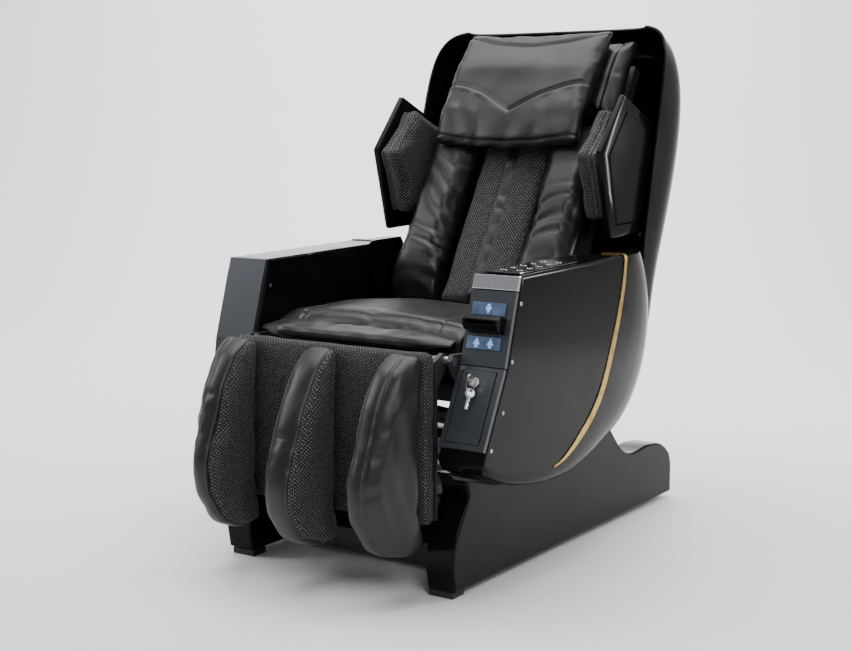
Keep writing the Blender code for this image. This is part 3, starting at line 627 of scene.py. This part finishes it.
def glossyShell(node, body, degrees=32):
    piece = smoothBy(copyNode(node, node + "_skin"), degrees)
    piece.modifiers.new("Weighted", "WEIGHTED_NORMAL").keep_sharp = True
    applyAll(piece)
    return settle(piece, black, body, "gloss_black", node)


def wingSkin(side, way):
    piece = copyNode(f"{side}_wing_shell", f"{side}_wing_skin")
    bpy.ops.object.mode_set(mode="EDIT")
    bpy.ops.mesh.select_all(action="SELECT")
    bpy.ops.mesh.dissolve_limited(angle_limit=math.radians(1))
    bpy.ops.mesh.select_all(action="DESELECT")
    bpy.ops.object.mode_set(mode="OBJECT")
    outer = [face for face in piece.data.polygons if face.normal.x * way > 0.99]
    max(outer, key=lambda face: face.area).select = True
    bpy.ops.object.mode_set(mode="EDIT")
    bpy.ops.mesh.inset(thickness=wingSizes["panelInset"], depth=0)
    bpy.ops.mesh.inset(thickness=0.004, depth=wingSizes["panelRise"])
    bpy.ops.object.mode_set(mode="OBJECT")
    smoothBy(piece, 32)
    return settle(piece, black, "back", "gloss_black", f"{side}_wing_shell")


print("stage: glossy shells")
for side, way in (("left", 1), ("right", -1)):
    glossyShell(f"{side}_arm_shell", "chair_body")
    glossyShell(f"{side}_base_cover", "chair_body")
    wingSkin(side, way)
glossyShell("back_shell", "back", 60)


seatSizes = {"weave": 0.006, "inset": 0.003, "limit": 0.011, "pressure": 4.0, "calm": 10}
seatSeams = {"sideX": 0.182, "frontY": -0.288, "crown": 0.018}
flapSizes = {"weave": 0.0045, "inset": 0.001, "limit": 0.009, "pressure": 4.0, "relax": 2}
flapRoll = {"middle": 0.511, "halfHeight": 0.024, "depth": 0.052}


def makeSeat():
    piece = puff(copyNode("seat_cushion", "seat_cushion_cover"), seatSizes)
    low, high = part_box("seat_cushion")
    spots = points(piece)
    x, y, z = spots.T
    onTop = ramp(z, high[2] - 0.050, high[2] - 0.008)
    bulge = np.clip(1 - (x / high[0]) ** 2, 0, 1) * ramp(-y, -high[1], 0.060)
    spots[:, 2] += onTop * (seatSeams["crown"] * bulge - 0.004)
    # soft folds where the bolsters press on the rear, and shallow ones along the front roll
    rear = ramp(y, -0.09, 0.03) * onTop
    rearFolds = crease(2 * np.pi * (y / 0.042 + x * 3) + 2.0 * ripple(spots, 0.14, 8), 0.20)
    front = ramp(-y, 0.235, 0.300)
    frontFolds = crease(2 * np.pi * x / 0.110 + 2.6 * ripple(spots, 0.16, 3), 0.25)
    frontFolds *= ramp(ripple(spots, 0.22, 5), 0.0, 1.2)
    putPoints(piece, spots)
    swell = 0.0008 * ripple(spots, 0.13, 11) * onTop
    push(piece, swell - 0.0030 * rear * rearFolds - 0.0024 * front * frontFolds)
    x, y, z = points(piece).T
    upper = z > high[2] - 0.05
    groove(piece, np.where(upper, np.abs(np.abs(x) - seatSeams["sideX"]), 1), 0.0024, 0.004)
    groove(piece, np.where(upper, np.abs(y - seatSeams["frontY"]), 1), 0.0036, 0.005)
    settle(piece, hide, "chair_body", "black_leather", "seat_cushion")
    width = np.linspace(low[0] + 0.008, high[0] - 0.008, 90)
    across = [(x, seatSeams["frontY"], high[2] + 0.1) for x in width]
    rows = [stitches("seat_front_stitches", trace(piece, across, (0, 0, -1)))]
    for way, name in ((1, "left"), (-1, "right")):
        backward = [
            (way * (seatSeams["sideX"] + 0.004), y, high[2] + 0.1)
            for y in np.linspace(seatSeams["frontY"], high[1] - 0.010, 80)
        ]
        rows.append(stitches(f"seat_{name}_stitches", trace(piece, backward, (0, 0, -1))))
    settle(join("seat_stitches", rows), thread, "chair_body", "black_leather")


def makeFlap():
    # a soft roll that bridges the gap to the leg rest, its top leaning towards the seat and crumpled into
    # folds
    piece = puff(copyNode("seat_flap", "seat_flap_roll"), flapSizes)
    low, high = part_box("seat_flap")
    spots = points(piece)
    x, y, z = spots.T
    end = ramp(np.abs(x), 0.150, high[0] + 0.004)
    rollZ = flapRoll["middle"] - 0.006 * end
    turnZ = (z - (low[2] + high[2]) / 2) / (high[2] - low[2]) * 2
    depth = (high[1] - y) / (high[1] - low[1])
    spots[:, 2] = rollZ + turnZ * flapRoll["halfHeight"] * (1 - 0.70 * end**1.5)
    spots[:, 1] = high[1] - depth * flapRoll["depth"] * (1 - 0.50 * end)
    spots[:, 1] += 0.012 * np.clip(depth, 0, 1) * np.clip(turnZ, 0, 1)
    putPoints(piece, spots)
    folds = crease(2 * np.pi * (x / 0.130 + z * 7.0) + 3.2 * ripple(spots, 0.22, 21), 0.12)
    folds *= ramp(ripple(spots * (1, 1, 0.3), 0.18, 23), -0.4, 0.9)
    push(piece, 0.0010 * ripple(spots, 0.08, 27) - 0.0045 * folds)
    settle(piece, hide, "chair_body", "black_leather", "seat_flap")
    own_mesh(piece)


print("stage: seat")
makeSeat()
makeFlap()


bolsterSizes = {"weave": 0.005, "inset": 0.003, "limit": 0.014, "pressure": 5.0, "relax": 12, "calm": 8}
bolsterFolds = {"spacing": 0.052, "slope": -0.45, "depth": 0.0085}
panelStrip = {"half": 0.014}
panelSizes = {"weave": 0.005, "inset": 0.001, "limit": 0.005, "pressure": 3.0}
headRoom = 0.002
headSizes = {"weave": 0.006, "inset": 0.004, "limit": 0.012, "pressure": 4.0}
pillowSizes = {"weave": 0.005, "inset": 0.001, "limit": 0.010, "pressure": 4.0, "relax": 14, "calm": 8}
pillowSeam = {"tip": 0.511, "end": 0.587, "half": 0.194, "topMiddle": 0.700, "topEnd": 0.738}
wingPadSizes = {"weave": 0.005, "inset": 0.004, "limit": 0.010, "pressure": 5.0}


def makeBolster(side, way):
    piece = puff(copyNode(f"{side}_bolster", f"{side}_bolster_cover"), bolsterSizes)
    spots = points(piece)
    x, rearward, up = inBack(spots)
    inner = np.clip((np.abs(x) - 0.100) / 0.138, 0, 1)
    facing = ramp(-rearward, -0.045, -0.005)
    warp = 1.9 * ripple(spots, 0.19, 31 + way) + 0.5 * ripple(spots, 0.08, 33 + way)
    slanted = up + bolsterFolds["slope"] * (np.abs(x) - 0.1)
    phase = 2 * np.pi * slanted / bolsterFolds["spacing"] + warp
    strength = (0.30 + 0.70 * (1 - inner)) * (0.25 + 0.75 * ramp(-up, -0.42, -0.15))
    patches = 0.25 + 0.75 * ramp(ripple(spots, 0.16, 35 + way), -0.7, 0.6)
    folds = bolsterFolds["depth"] * crease(phase, 0.10) + 0.0016 * crease(phase * 2.0 + warp, 0.20)
    push(piece, 0.0018 * ripple(spots, 0.14, 37 + way) - facing * strength * patches * folds)
    settle(piece, hide, "back", "black_leather", f"{side}_bolster")


def makeMeshPanel():
    # mesh with a pleated leather strip down its middle
    piece = puff(copyNode("back_mesh_panel", "back_mesh_cover"), panelSizes)
    spots = points(piece)
    x, rearward, up = inBack(spots)
    facing = ramp(-rearward, -0.040, -0.022)
    half = panelStrip["half"]
    rise = 0.008 * facing * np.exp(-((np.abs(x) / 0.070) ** 4))
    pleats = crease(2 * np.pi * up / 0.048 + 1.8 * ripple(spots, 0.10, 43), 0.15)
    pleats *= np.exp(-((x / half) ** 4))
    push(piece, rise - 0.0030 * facing * pleats + 0.0008 * ripple(spots, 0.09, 45))
    groove(piece, np.abs(np.abs(points(piece)[:, 0]) - half), 0.0030, 0.0035)
    settle(piece, padCover("back_mesh_and_strip", -half, half), "back", "mesh_fabric", "back_mesh_panel")


def makeHeadPad():
    piece = copyNode("head_pad", "head_pad_cover")
    deepest = inBack(points(piece))[1].max() - headRoom  # keeps clear of the kneading heads
    puff(piece, headSizes)
    spots = points(piece)
    x, rearward, up = inBack(spots)
    facing = ramp(-rearward, -0.045, -0.010)
    phase = 2 * np.pi * (up * 0.6 + np.abs(x)) / 0.110 + 1.5 * ripple(spots, 0.20, 51)
    sag = 0.0025 * facing * crease(phase, 0.2)
    push(piece, -sag + 0.0010 * ripple(spots, 0.09, 53))
    spots = points(piece)
    past = np.maximum(0, inBack(spots)[1] - deepest)
    putPoints(piece, spots - backRear * past[:, None])
    groove(piece, np.where(rearward < 0.04, np.abs(np.abs(x) - 0.205), 1), 0.0035, 0.0045)
    settle(piece, hide, "back", "black_leather", "head_pad")


def seamHeights(x):
    # the V seam dips to a point in the middle, the top seam sags between its ends
    part = np.minimum(np.abs(x) / pillowSeam["half"], 1)
    vee = pillowSeam["tip"] + (pillowSeam["end"] - pillowSeam["tip"]) * np.sin(part * math.pi / 2)
    top = pillowSeam["topMiddle"] + (pillowSeam["topEnd"] - pillowSeam["topMiddle"]) * part**2
    return vee, top


def makePillow():
    piece = puff(copyNode("head_pillow", "head_pillow_cover"), pillowSizes)
    spots = points(piece)
    x, rearward, up = inBack(spots)
    # the hem hangs lowest in the middle and lifts at its corners
    lowest = ramp(-up, -0.53, -0.43)
    drop = lowest * (0.020 * (x / 0.205) ** 2 - 0.010)
    putPoints(piece, spots + drop[:, None] * backUp)
    spots = points(piece)
    x, rearward, up = inBack(spots)
    vee, top = seamHeights(x)
    facingWay = normals(piece) @ -backRear
    front = ramp(facingWay, 0.0, 0.5)
    below = ramp(vee - up, 0.0, 0.020)
    gathered = crease(2 * np.pi * x / 0.075 + 1.6 * ripple(spots, 0.16, 61), 0.15) * below
    gathered *= 0.3 + 0.7 * ramp(ripple(spots, 0.12, 63), -0.5, 0.6)
    plain = crease(2 * np.pi * x / 0.150 + 1.5 * ripple(spots, 0.20, 67), 0.40) * (1 - below)
    belly = 0.005 * (1 - below) * np.exp(-(((up - 0.64) / 0.06) ** 2)) * np.cos(np.pi * x / 0.42)
    push(piece, front * (belly - 0.0042 * gathered - 0.0022 * plain) + 0.0008 * ripple(spots, 0.10, 65))
    x, rearward, up = inBack(points(piece))
    vee, top = seamHeights(x)
    faces = facingWay > 0.1
    groove(piece, np.where(faces, np.abs(up - vee), 1), 0.0042, 0.0050)
    groove(piece, np.where(faces, np.abs(up - top), 1), 0.0035, 0.0050)
    hem = inBack(points(piece))[2].min() + 0.010
    groove(piece, np.where(faces, np.abs(up - hem - 0.020 * (x / 0.205) ** 2), 1), 0.0028, 0.0040)
    settle(piece, hide, "pillow", "black_leather", "head_pillow")
    lines = []
    for i in (0, 1):
        starts = [fromBack(x, -0.3, seamHeights(x)[i] + 0.003) for x in np.linspace(-0.194, 0.194, 90)]
        lines.append(piping(f"pillow_line_{i}", trace(piece, starts, tuple(backRear)), 0.0013, 0.3))
    settle(join("pillow_seam_piping", lines), lightPiping, "pillow", "black_leather")


def makeWingPad(side, way):
    piece = puff(copyNode(f"{side}_wing_pad", f"{side}_wing_pad_cover"), wingPadSizes)
    low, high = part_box(f"{side}_wing_pad")
    x = np.abs(points(piece)[:, 0])
    inner, outer = min(abs(low[0]), abs(high[0])), max(abs(low[0]), abs(high[0]))
    layers = [inner + (outer - inner) * part for part in (0.58, 0.76)]
    for layer in layers:
        groove(piece, np.abs(x - layer), 0.0052, 0.0042)
    settle(piece, mesh, "back", "mesh_fabric", f"{side}_wing_pad")
    centre = ((low[1] + high[1]) / 2, (low[2] + high[2]) / 2)
    lines = []
    for i, layer in enumerate([*layers, outer - 0.008]):
        found = traceRound(piece, way * layer, centre, 0, 357, 120)
        lines.append(piping(f"{side}_wing_line_{i}", found, 0.0010, 0.2, True))
    settle(join(f"{side}_wing_piping", lines), lightPiping, "back", "mesh_fabric")


print("stage: back")
for side, way in (("left", 1), ("right", -1)):
    makeBolster(side, way)
    makeWingPad(side, way)
makeMeshPanel()
makeHeadPad()
makePillow()


legPadSizes = {"weave": 0.005, "inset": 0.000, "limit": 0.009, "pressure": 4.0, "relax": 40, "calm": 10}
legPads = {
    "left": (0.180, 0.218),
    "middle": (-0.030, 0.030),
    "right": (-0.218, -0.180),
}
backingSizes = {"weave": 0.007, "inset": 0.002, "limit": 0.004, "pressure": 3.0}


def makeLegPad(name, seams):
    piece = puff(copyNode(f"{name}_leg_pad", f"{name}_leg_pad_cover"), legPadSizes)
    low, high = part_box(f"{name}_leg_pad")
    spots = points(piece)
    x, y, z = spots.T
    forward = ramp(-y, 0.47, 0.53)
    for seam in seams:
        groove(piece, np.where(normals(piece)[:, 1] < 0.4, np.abs(x - seam), 1), 0.0026, 0.0038)
    middle = (seams[0] + seams[1]) / 2
    strip = forward * np.exp(-(((x - middle) / (0.5 * (seams[1] - seams[0]))) ** 4))
    sideways = ramp(np.abs(normals(piece)[:, 0]), 0.6, 0.95) * ramp(-y, 0.460, 0.500)
    ridges = sideways * (0.5 + 0.5 * np.sin(2 * np.pi * (y + 0.3 * z) / 0.060 + ripple(spots, 0.18, 71)))
    push(piece, 0.003 * strip + 0.0022 * ridges + 0.0006 * ripple(spots, 0.12, 73))
    far = 1.0
    lowX = -far if name == "right" else seams[0]
    highX = far if name == "left" else seams[1]
    finish = padCover(f"{name}_leg_pad_leather_and_mesh", lowX, highX)
    settle(piece, finish, "leg_rest", "black_leather", f"{name}_leg_pad")
    rows = []
    centre = ((low[1] + high[1]) / 2 + 0.02, (low[2] + high[2]) / 2)
    for i, seam in enumerate(seams):
        inward = 0.0035 if i == 0 else -0.0035
        found = traceRound(piece, seam + inward, centre, 82, 285, 160)
        rows.append(stitches(f"{name}_leg_stitches_{i}", found, radius=0.0006))
    settle(join(f"{name}_leg_pad_stitches", rows), thread, "leg_rest", "black_leather")


def makeBacking():
    piece = puff(copyNode("calf_backing_pad", "calf_backing_cover"), backingSizes)
    push(piece, 0.0010 * ripple(points(piece), 0.08, 81))
    settle(piece, mesh, "leg_rest", "mesh_fabric", "calf_backing_pad")


print("stage: leg rest")
for name, seams in legPads.items():
    makeLegPad(name, seams)
makeBacking()


screwSizes = {"radius": 0.0042, "height": 0.0014, "slot": 0.0009}
keySizes = {"ring": 0.0105, "wire": 0.0007, "bow": 0.0095, "blade": 0.0020}
markSizes = {"radius": 0.0095, "thickness": 0.0004}


def screwHead(name, spot, way):
    # a low domed head with a cross cut in it, its top towards way along X
    deselect()
    bpy.ops.mesh.primitive_cylinder_add(
        vertices=24, radius=screwSizes["radius"], depth=screwSizes["height"], location=(0, 0, 0)
    )
    head = named(name)
    bpy.ops.object.mode_set(mode="EDIT")
    bpy.ops.mesh.select_all(action="DESELECT")
    bpy.ops.object.mode_set(mode="OBJECT")
    for face in head.data.polygons:
        face.select = face.normal.z > 0.9
    bpy.ops.object.mode_set(mode="EDIT")
    bpy.ops.mesh.bevel(offset=0.0006, segments=2, affect="EDGES")
    bpy.ops.object.mode_set(mode="OBJECT")
    for turn in (0, 90):
        deselect()
        bpy.ops.mesh.primitive_cube_add(size=1, location=(0, 0, screwSizes["height"] / 2))
        blade = bpy.context.active_object
        blade.scale = (0.0050, screwSizes["slot"], 0.0011)
        blade.rotation_euler = (0, 0, math.radians(turn + 20))
        cross = named("blade")
        cut = head.modifiers.new("Cut", "BOOLEAN")
        cut.object = cross
        cut.solver = "EXACT"
        applyAll(head)
        bpy.data.objects.remove(cross)
    head.rotation_euler = (0, math.radians(90 * way), 0)
    head.location = (spot[0] + way * (screwSizes["height"] / 2 - 0.0002), spot[1], spot[2])
    use(head)
    bpy.ops.object.transform_apply(location=True, rotation=True, scale=True)
    return smoothBy(head, 30)


def panelTurn():
    # turns flat work so that its face looks out of the tilted upper panel
    across = Vector((1, 0, 0))
    up = Vector((0, math.sin(upperTilt), math.cos(upperTilt)))
    out = Vector((0, -math.cos(upperTilt), math.sin(upperTilt)))
    return Matrix((across, up, out)).transposed().to_4x4()


def displayMark(name, node, offsetX, upward):
    low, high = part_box(node)
    centre = Vector([(a + b) / 2 for a, b in zip(low, high)])
    deselect()
    bpy.ops.mesh.primitive_cone_add(
        vertices=3,
        radius1=markSizes["radius"],
        radius2=markSizes["radius"] * 0.92,
        depth=markSizes["thickness"],
        location=(0, 0.001, 0),
    )
    head = named(name)
    bpy.ops.mesh.primitive_cube_add(size=1, location=(0, -0.0062, 0))
    bpy.context.active_object.scale = (0.0070, 0.0070, markSizes["thickness"])
    tail = named(name + "_tail")
    arrow = join(name, [head, tail])
    turn = panelTurn()
    out = turn.to_3x3() @ Vector((0, 0, 1))
    half = 0.00125 + markSizes["thickness"] / 2
    flip = Matrix.Rotation(0 if upward else math.pi, 4, "Z")
    arrow.matrix_world = Matrix.Translation(centre + Vector((offsetX, 0, 0)) + out * half) @ turn @ flip
    use(arrow)
    bpy.ops.object.transform_apply(location=True, rotation=True, scale=True)
    return arrow


def fromLower(x, outward, up):
    # a place on the tower's lower panel: across, out of its face, and up along it
    split = Vector((0, -0.362, 0.470))
    out = Vector((0, -math.cos(lowerTilt), math.sin(lowerTilt)))
    along = Vector((0, math.sin(lowerTilt), math.cos(lowerTilt)))
    return split + Vector((x, 0, 0)) + out * outward + along * up


def makeKeyRing():
    # a split ring through the key's eye, with a spare key hanging from it
    deselect()
    bpy.ops.mesh.primitive_torus_add(
        major_radius=keySizes["ring"], minor_radius=keySizes["wire"], major_segments=40, minor_segments=8
    )
    ring = named("key_ring")
    deselect()
    bpy.ops.mesh.primitive_cylinder_add(vertices=28, radius=keySizes["bow"], depth=keySizes["blade"])
    bow = named("spare_key")
    bpy.ops.mesh.primitive_cylinder_add(vertices=16, radius=0.0028, depth=0.01, location=(0, 0.0060, 0))
    eye = named("eye")
    bpy.ops.mesh.primitive_cube_add(size=1, location=(0, -0.0200, 0))
    bpy.context.active_object.scale = (0.0072, 0.0260, keySizes["blade"] * 0.98)
    blade = named("blade")
    notches = []
    for i, depth in enumerate((0.0016, 0.0026, 0.0012, 0.0022)):
        bpy.ops.mesh.primitive_cylinder_add(
            vertices=4, radius=depth, depth=0.01, location=(0.0036, -0.0150 - 0.0042 * i, 0)
        )
        notches.append(named("notch"))
    cuts = [(notch, "DIFFERENCE") for notch in notches]
    for cutter, operation in [(blade, "UNION"), (eye, "DIFFERENCE")] + cuts:
        boolean = bow.modifiers.new("Shape", "BOOLEAN")
        boolean.operation = operation
        boolean.object = cutter
        boolean.solver = "EXACT"
        applyAll(bow)
        bpy.data.objects.remove(cutter)
    edge = bow.modifiers.new("Edge", "BEVEL")
    edge.width = 0.00025
    edge.segments = 2
    applyAll(bow)
    out = Vector((0, -math.cos(lowerTilt), math.sin(lowerTilt)))
    along = Vector((0, math.sin(lowerTilt), math.cos(lowerTilt)))
    across = Vector((1, 0, 0))
    ring.matrix_world = Matrix.Translation(fromLower(0.322, 0.0165, -0.0445)) @ Matrix(
        (across, along, out)
    ).transposed().to_4x4()
    turned = Matrix((across, along, out)).transposed().to_4x4() @ Matrix.Rotation(math.radians(32), 4, "Y")
    bow.matrix_world = Matrix.Translation(fromLower(0.322, 0.0120, -0.0600)) @ turned
    for piece in (ring, bow):
        use(piece)
        bpy.ops.object.transform_apply(location=True, rotation=True, scale=True)
        smoothBy(piece, 35)
    settle(join("key_ring_and_spare", [ring, bow]), steel, "lock", "steel")


def makeTouchIcons():
    # two columns of touch rings, each with a small triangle mark, under the glass on the arm's top
    low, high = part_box("control_panel")
    slope = math.atan2(high[2] - low[2] - 0.004, high[1] - low[1])
    top = (low[2] + high[2]) / 2 + 0.0021
    shapes = []
    for row in range(5):
        for side in (-1, 1):
            y = low[1] + 0.035 + row * 0.040
            x = (low[0] + high[0]) / 2 + side * 0.019
            z = top + math.tan(slope) * (y - (low[1] + high[1]) / 2)
            deselect()
            bpy.ops.mesh.primitive_torus_add(
                major_radius=0.0060,
                minor_radius=0.0003,
                major_segments=28,
                minor_segments=6,
                location=(x, y, z),
            )
            shapes.append(named("touch_ring"))
            bpy.ops.mesh.primitive_cone_add(
                vertices=3, radius1=0.0026, radius2=0.0024, depth=0.0004, location=(x, y, z)
            )
            bpy.context.active_object.rotation_euler = (0, 0, math.radians(90 * row))
            shapes.append(named("touch_mark"))
    settle(join("touch_icons", shapes), chrome, "chair_body", "display")


def makeTowerDetails():
    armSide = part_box("left_arm_shell")[1][0]
    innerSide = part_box("right_arm_shell")[1][0]
    places = [(-0.304, 0.593), (-0.337, 0.481), (-0.370, 0.384), (-0.413, 0.316)]
    heads = [screwHead(f"side_screw_{i}", (armSide, y, z), 1) for i, (y, z) in enumerate(places)]
    heads.append(screwHead("inner_screw", (innerSide, -0.296, 0.588), 1))
    settle(join("arm_screws", heads), steel, "chair_body", "steel")
    marks = [
        displayMark("down_arrow", "upper_display", 0.0, False),
        displayMark("up_arrow_left", "lower_display", -0.016, True),
        displayMark("up_arrow_right", "lower_display", 0.016, True),
    ]
    settle(join("display_arrows", marks), mark, "chair_body", "display")


print("stage: tower details")
makeTowerDetails()
makeKeyRing()
makeTouchIcons()


studio = {
    "wide": 34.0,
    "back": 6.5,
    "rise": 9.0,
    "curve": 3.0,
    "turn": 34.3,
    "floorTone": 0.86,
    "room": 0.34,
    "wall": 0.9,
    "wallWay": (-0.563, 0.826, 0),
}
camera = {"place": (1.8466, -2.7874, 0.9492), "turn": (82.10, 0, 34.30), "lens": 62.0}


def areaLight(name, place, target, width, height, power):
    data = bpy.data.lights.new(name, "AREA")
    data.shape = "RECTANGLE"
    data.size = width
    data.size_y = height
    data.energy = power
    lamp = bpy.data.objects.new(name, data)
    lamp.location = place
    lamp.rotation_euler = (Vector(target) - Vector(place)).to_track_quat("-Z", "Y").to_euler()
    bpy.context.collection.objects.link(lamp)


def makeAir(tree):
    # a dim room with one pale wall behind the chair
    nodes, links = tree.nodes, tree.links
    place = nodes.new("ShaderNodeTexCoord")
    toWall = nodes.new("ShaderNodeVectorMath")
    toWall.operation = "DOT_PRODUCT"
    toWall.inputs[1].default_value = studio["wallWay"]
    share = nodes.new("ShaderNodeMapRange")
    share.interpolation_type = "SMOOTHSTEP"
    share.inputs["From Min"].default_value = 0.45
    share.inputs["From Max"].default_value = 0.90
    share.inputs["To Min"].default_value = studio["room"]
    share.inputs["To Max"].default_value = studio["wall"]
    links.new(place.outputs["Generated"], toWall.inputs[0])
    links.new(toWall.outputs["Value"], share.inputs["Value"])
    links.new(share.outputs["Result"], nodes["Background"].inputs["Strength"])
    nodes["Background"].inputs["Color"].default_value = (1, 1, 1, 1)


def makeStudio():
    deselect()
    half = studio["wide"] / 2
    bpy.ops.mesh.primitive_plane_add(size=studio["wide"], location=(0, studio["back"] - half, 0))
    floor = named("studio_floor")
    bpy.ops.object.transform_apply(location=True, rotation=True, scale=True)
    bpy.ops.object.mode_set(mode="EDIT")
    bpy.ops.mesh.select_all(action="DESELECT")
    bpy.ops.mesh.select_mode(type="EDGE")
    bpy.ops.object.mode_set(mode="OBJECT")
    places = [vertex.co.copy() for vertex in floor.data.vertices]
    for edge in floor.data.edges:
        edge.select = all(places[i].y > studio["back"] - 0.01 for i in edge.vertices)
    bpy.ops.object.mode_set(mode="EDIT")
    bpy.ops.mesh.extrude_region_move(TRANSFORM_OT_translate={"value": (0, 0, studio["rise"])})
    bpy.ops.object.mode_set(mode="OBJECT")
    places = [vertex.co.copy() for vertex in floor.data.vertices]
    for edge in floor.data.edges:
        low = all(abs(places[i].z) < 0.01 for i in edge.vertices)
        edge.select = low and all(places[i].y > studio["back"] - 0.01 for i in edge.vertices)
    bpy.ops.object.mode_set(mode="EDIT")
    bpy.ops.mesh.bevel(offset=studio["curve"], segments=24)
    bpy.ops.object.mode_set(mode="OBJECT")
    floor.rotation_euler = (0, 0, math.radians(studio["turn"]))
    use(floor)
    bpy.ops.object.transform_apply(location=True, rotation=True, scale=True)
    bpy.ops.object.shade_smooth()
    finish = Finish("pale_floor")
    cloud = finish.noise(1.5, 3.0)
    tone = studio["floorTone"]
    paper = finish.principled(
        Base_Color=finish.tint(cloud, (tone, tone, tone), (tone + 0.02, tone + 0.02, tone + 0.02)),
        Roughness=0.55 + cloud * 0.05,
    )
    floor.data.materials.append(finish.done(paper))
    world = bpy.data.worlds.new("studio_air")
    world.use_nodes = True
    makeAir(world.node_tree)
    scene.world = world
    areaLight("overhead_box", (-0.2, 0.2, 3.6), (0, 0, 0.5), 3.6, 3.6, 190)
    areaLight("key_box", (2.6, -2.4, 2.6), (0, 0, 0.6), 1.2, 1.6, 50)
    areaLight("fill_box", (-2.8, -1.6, 2.2), (0, 0, 0.6), 1.4, 1.8, 50)
    areaLight("backdrop_wash", (-1.6, 2.6, 4.2), (-3.6, 5.2, 1.2), 5.0, 2.0, 420)
    areaLight("rim_strip", (1.9, 2.3, 1.5), (0.3, 0.4, 0.8), 0.35, 1.8, 45)
    data = bpy.data.cameras.new("camera")
    data.lens = camera["lens"]
    data.sensor_width = 36.0
    eye = bpy.data.objects.new("camera", data)
    eye.location = camera["place"]
    eye.rotation_euler = [math.radians(angle) for angle in camera["turn"]]
    bpy.context.collection.objects.link(eye)
    scene.camera = eye


print("stage: studio")
makeStudio()
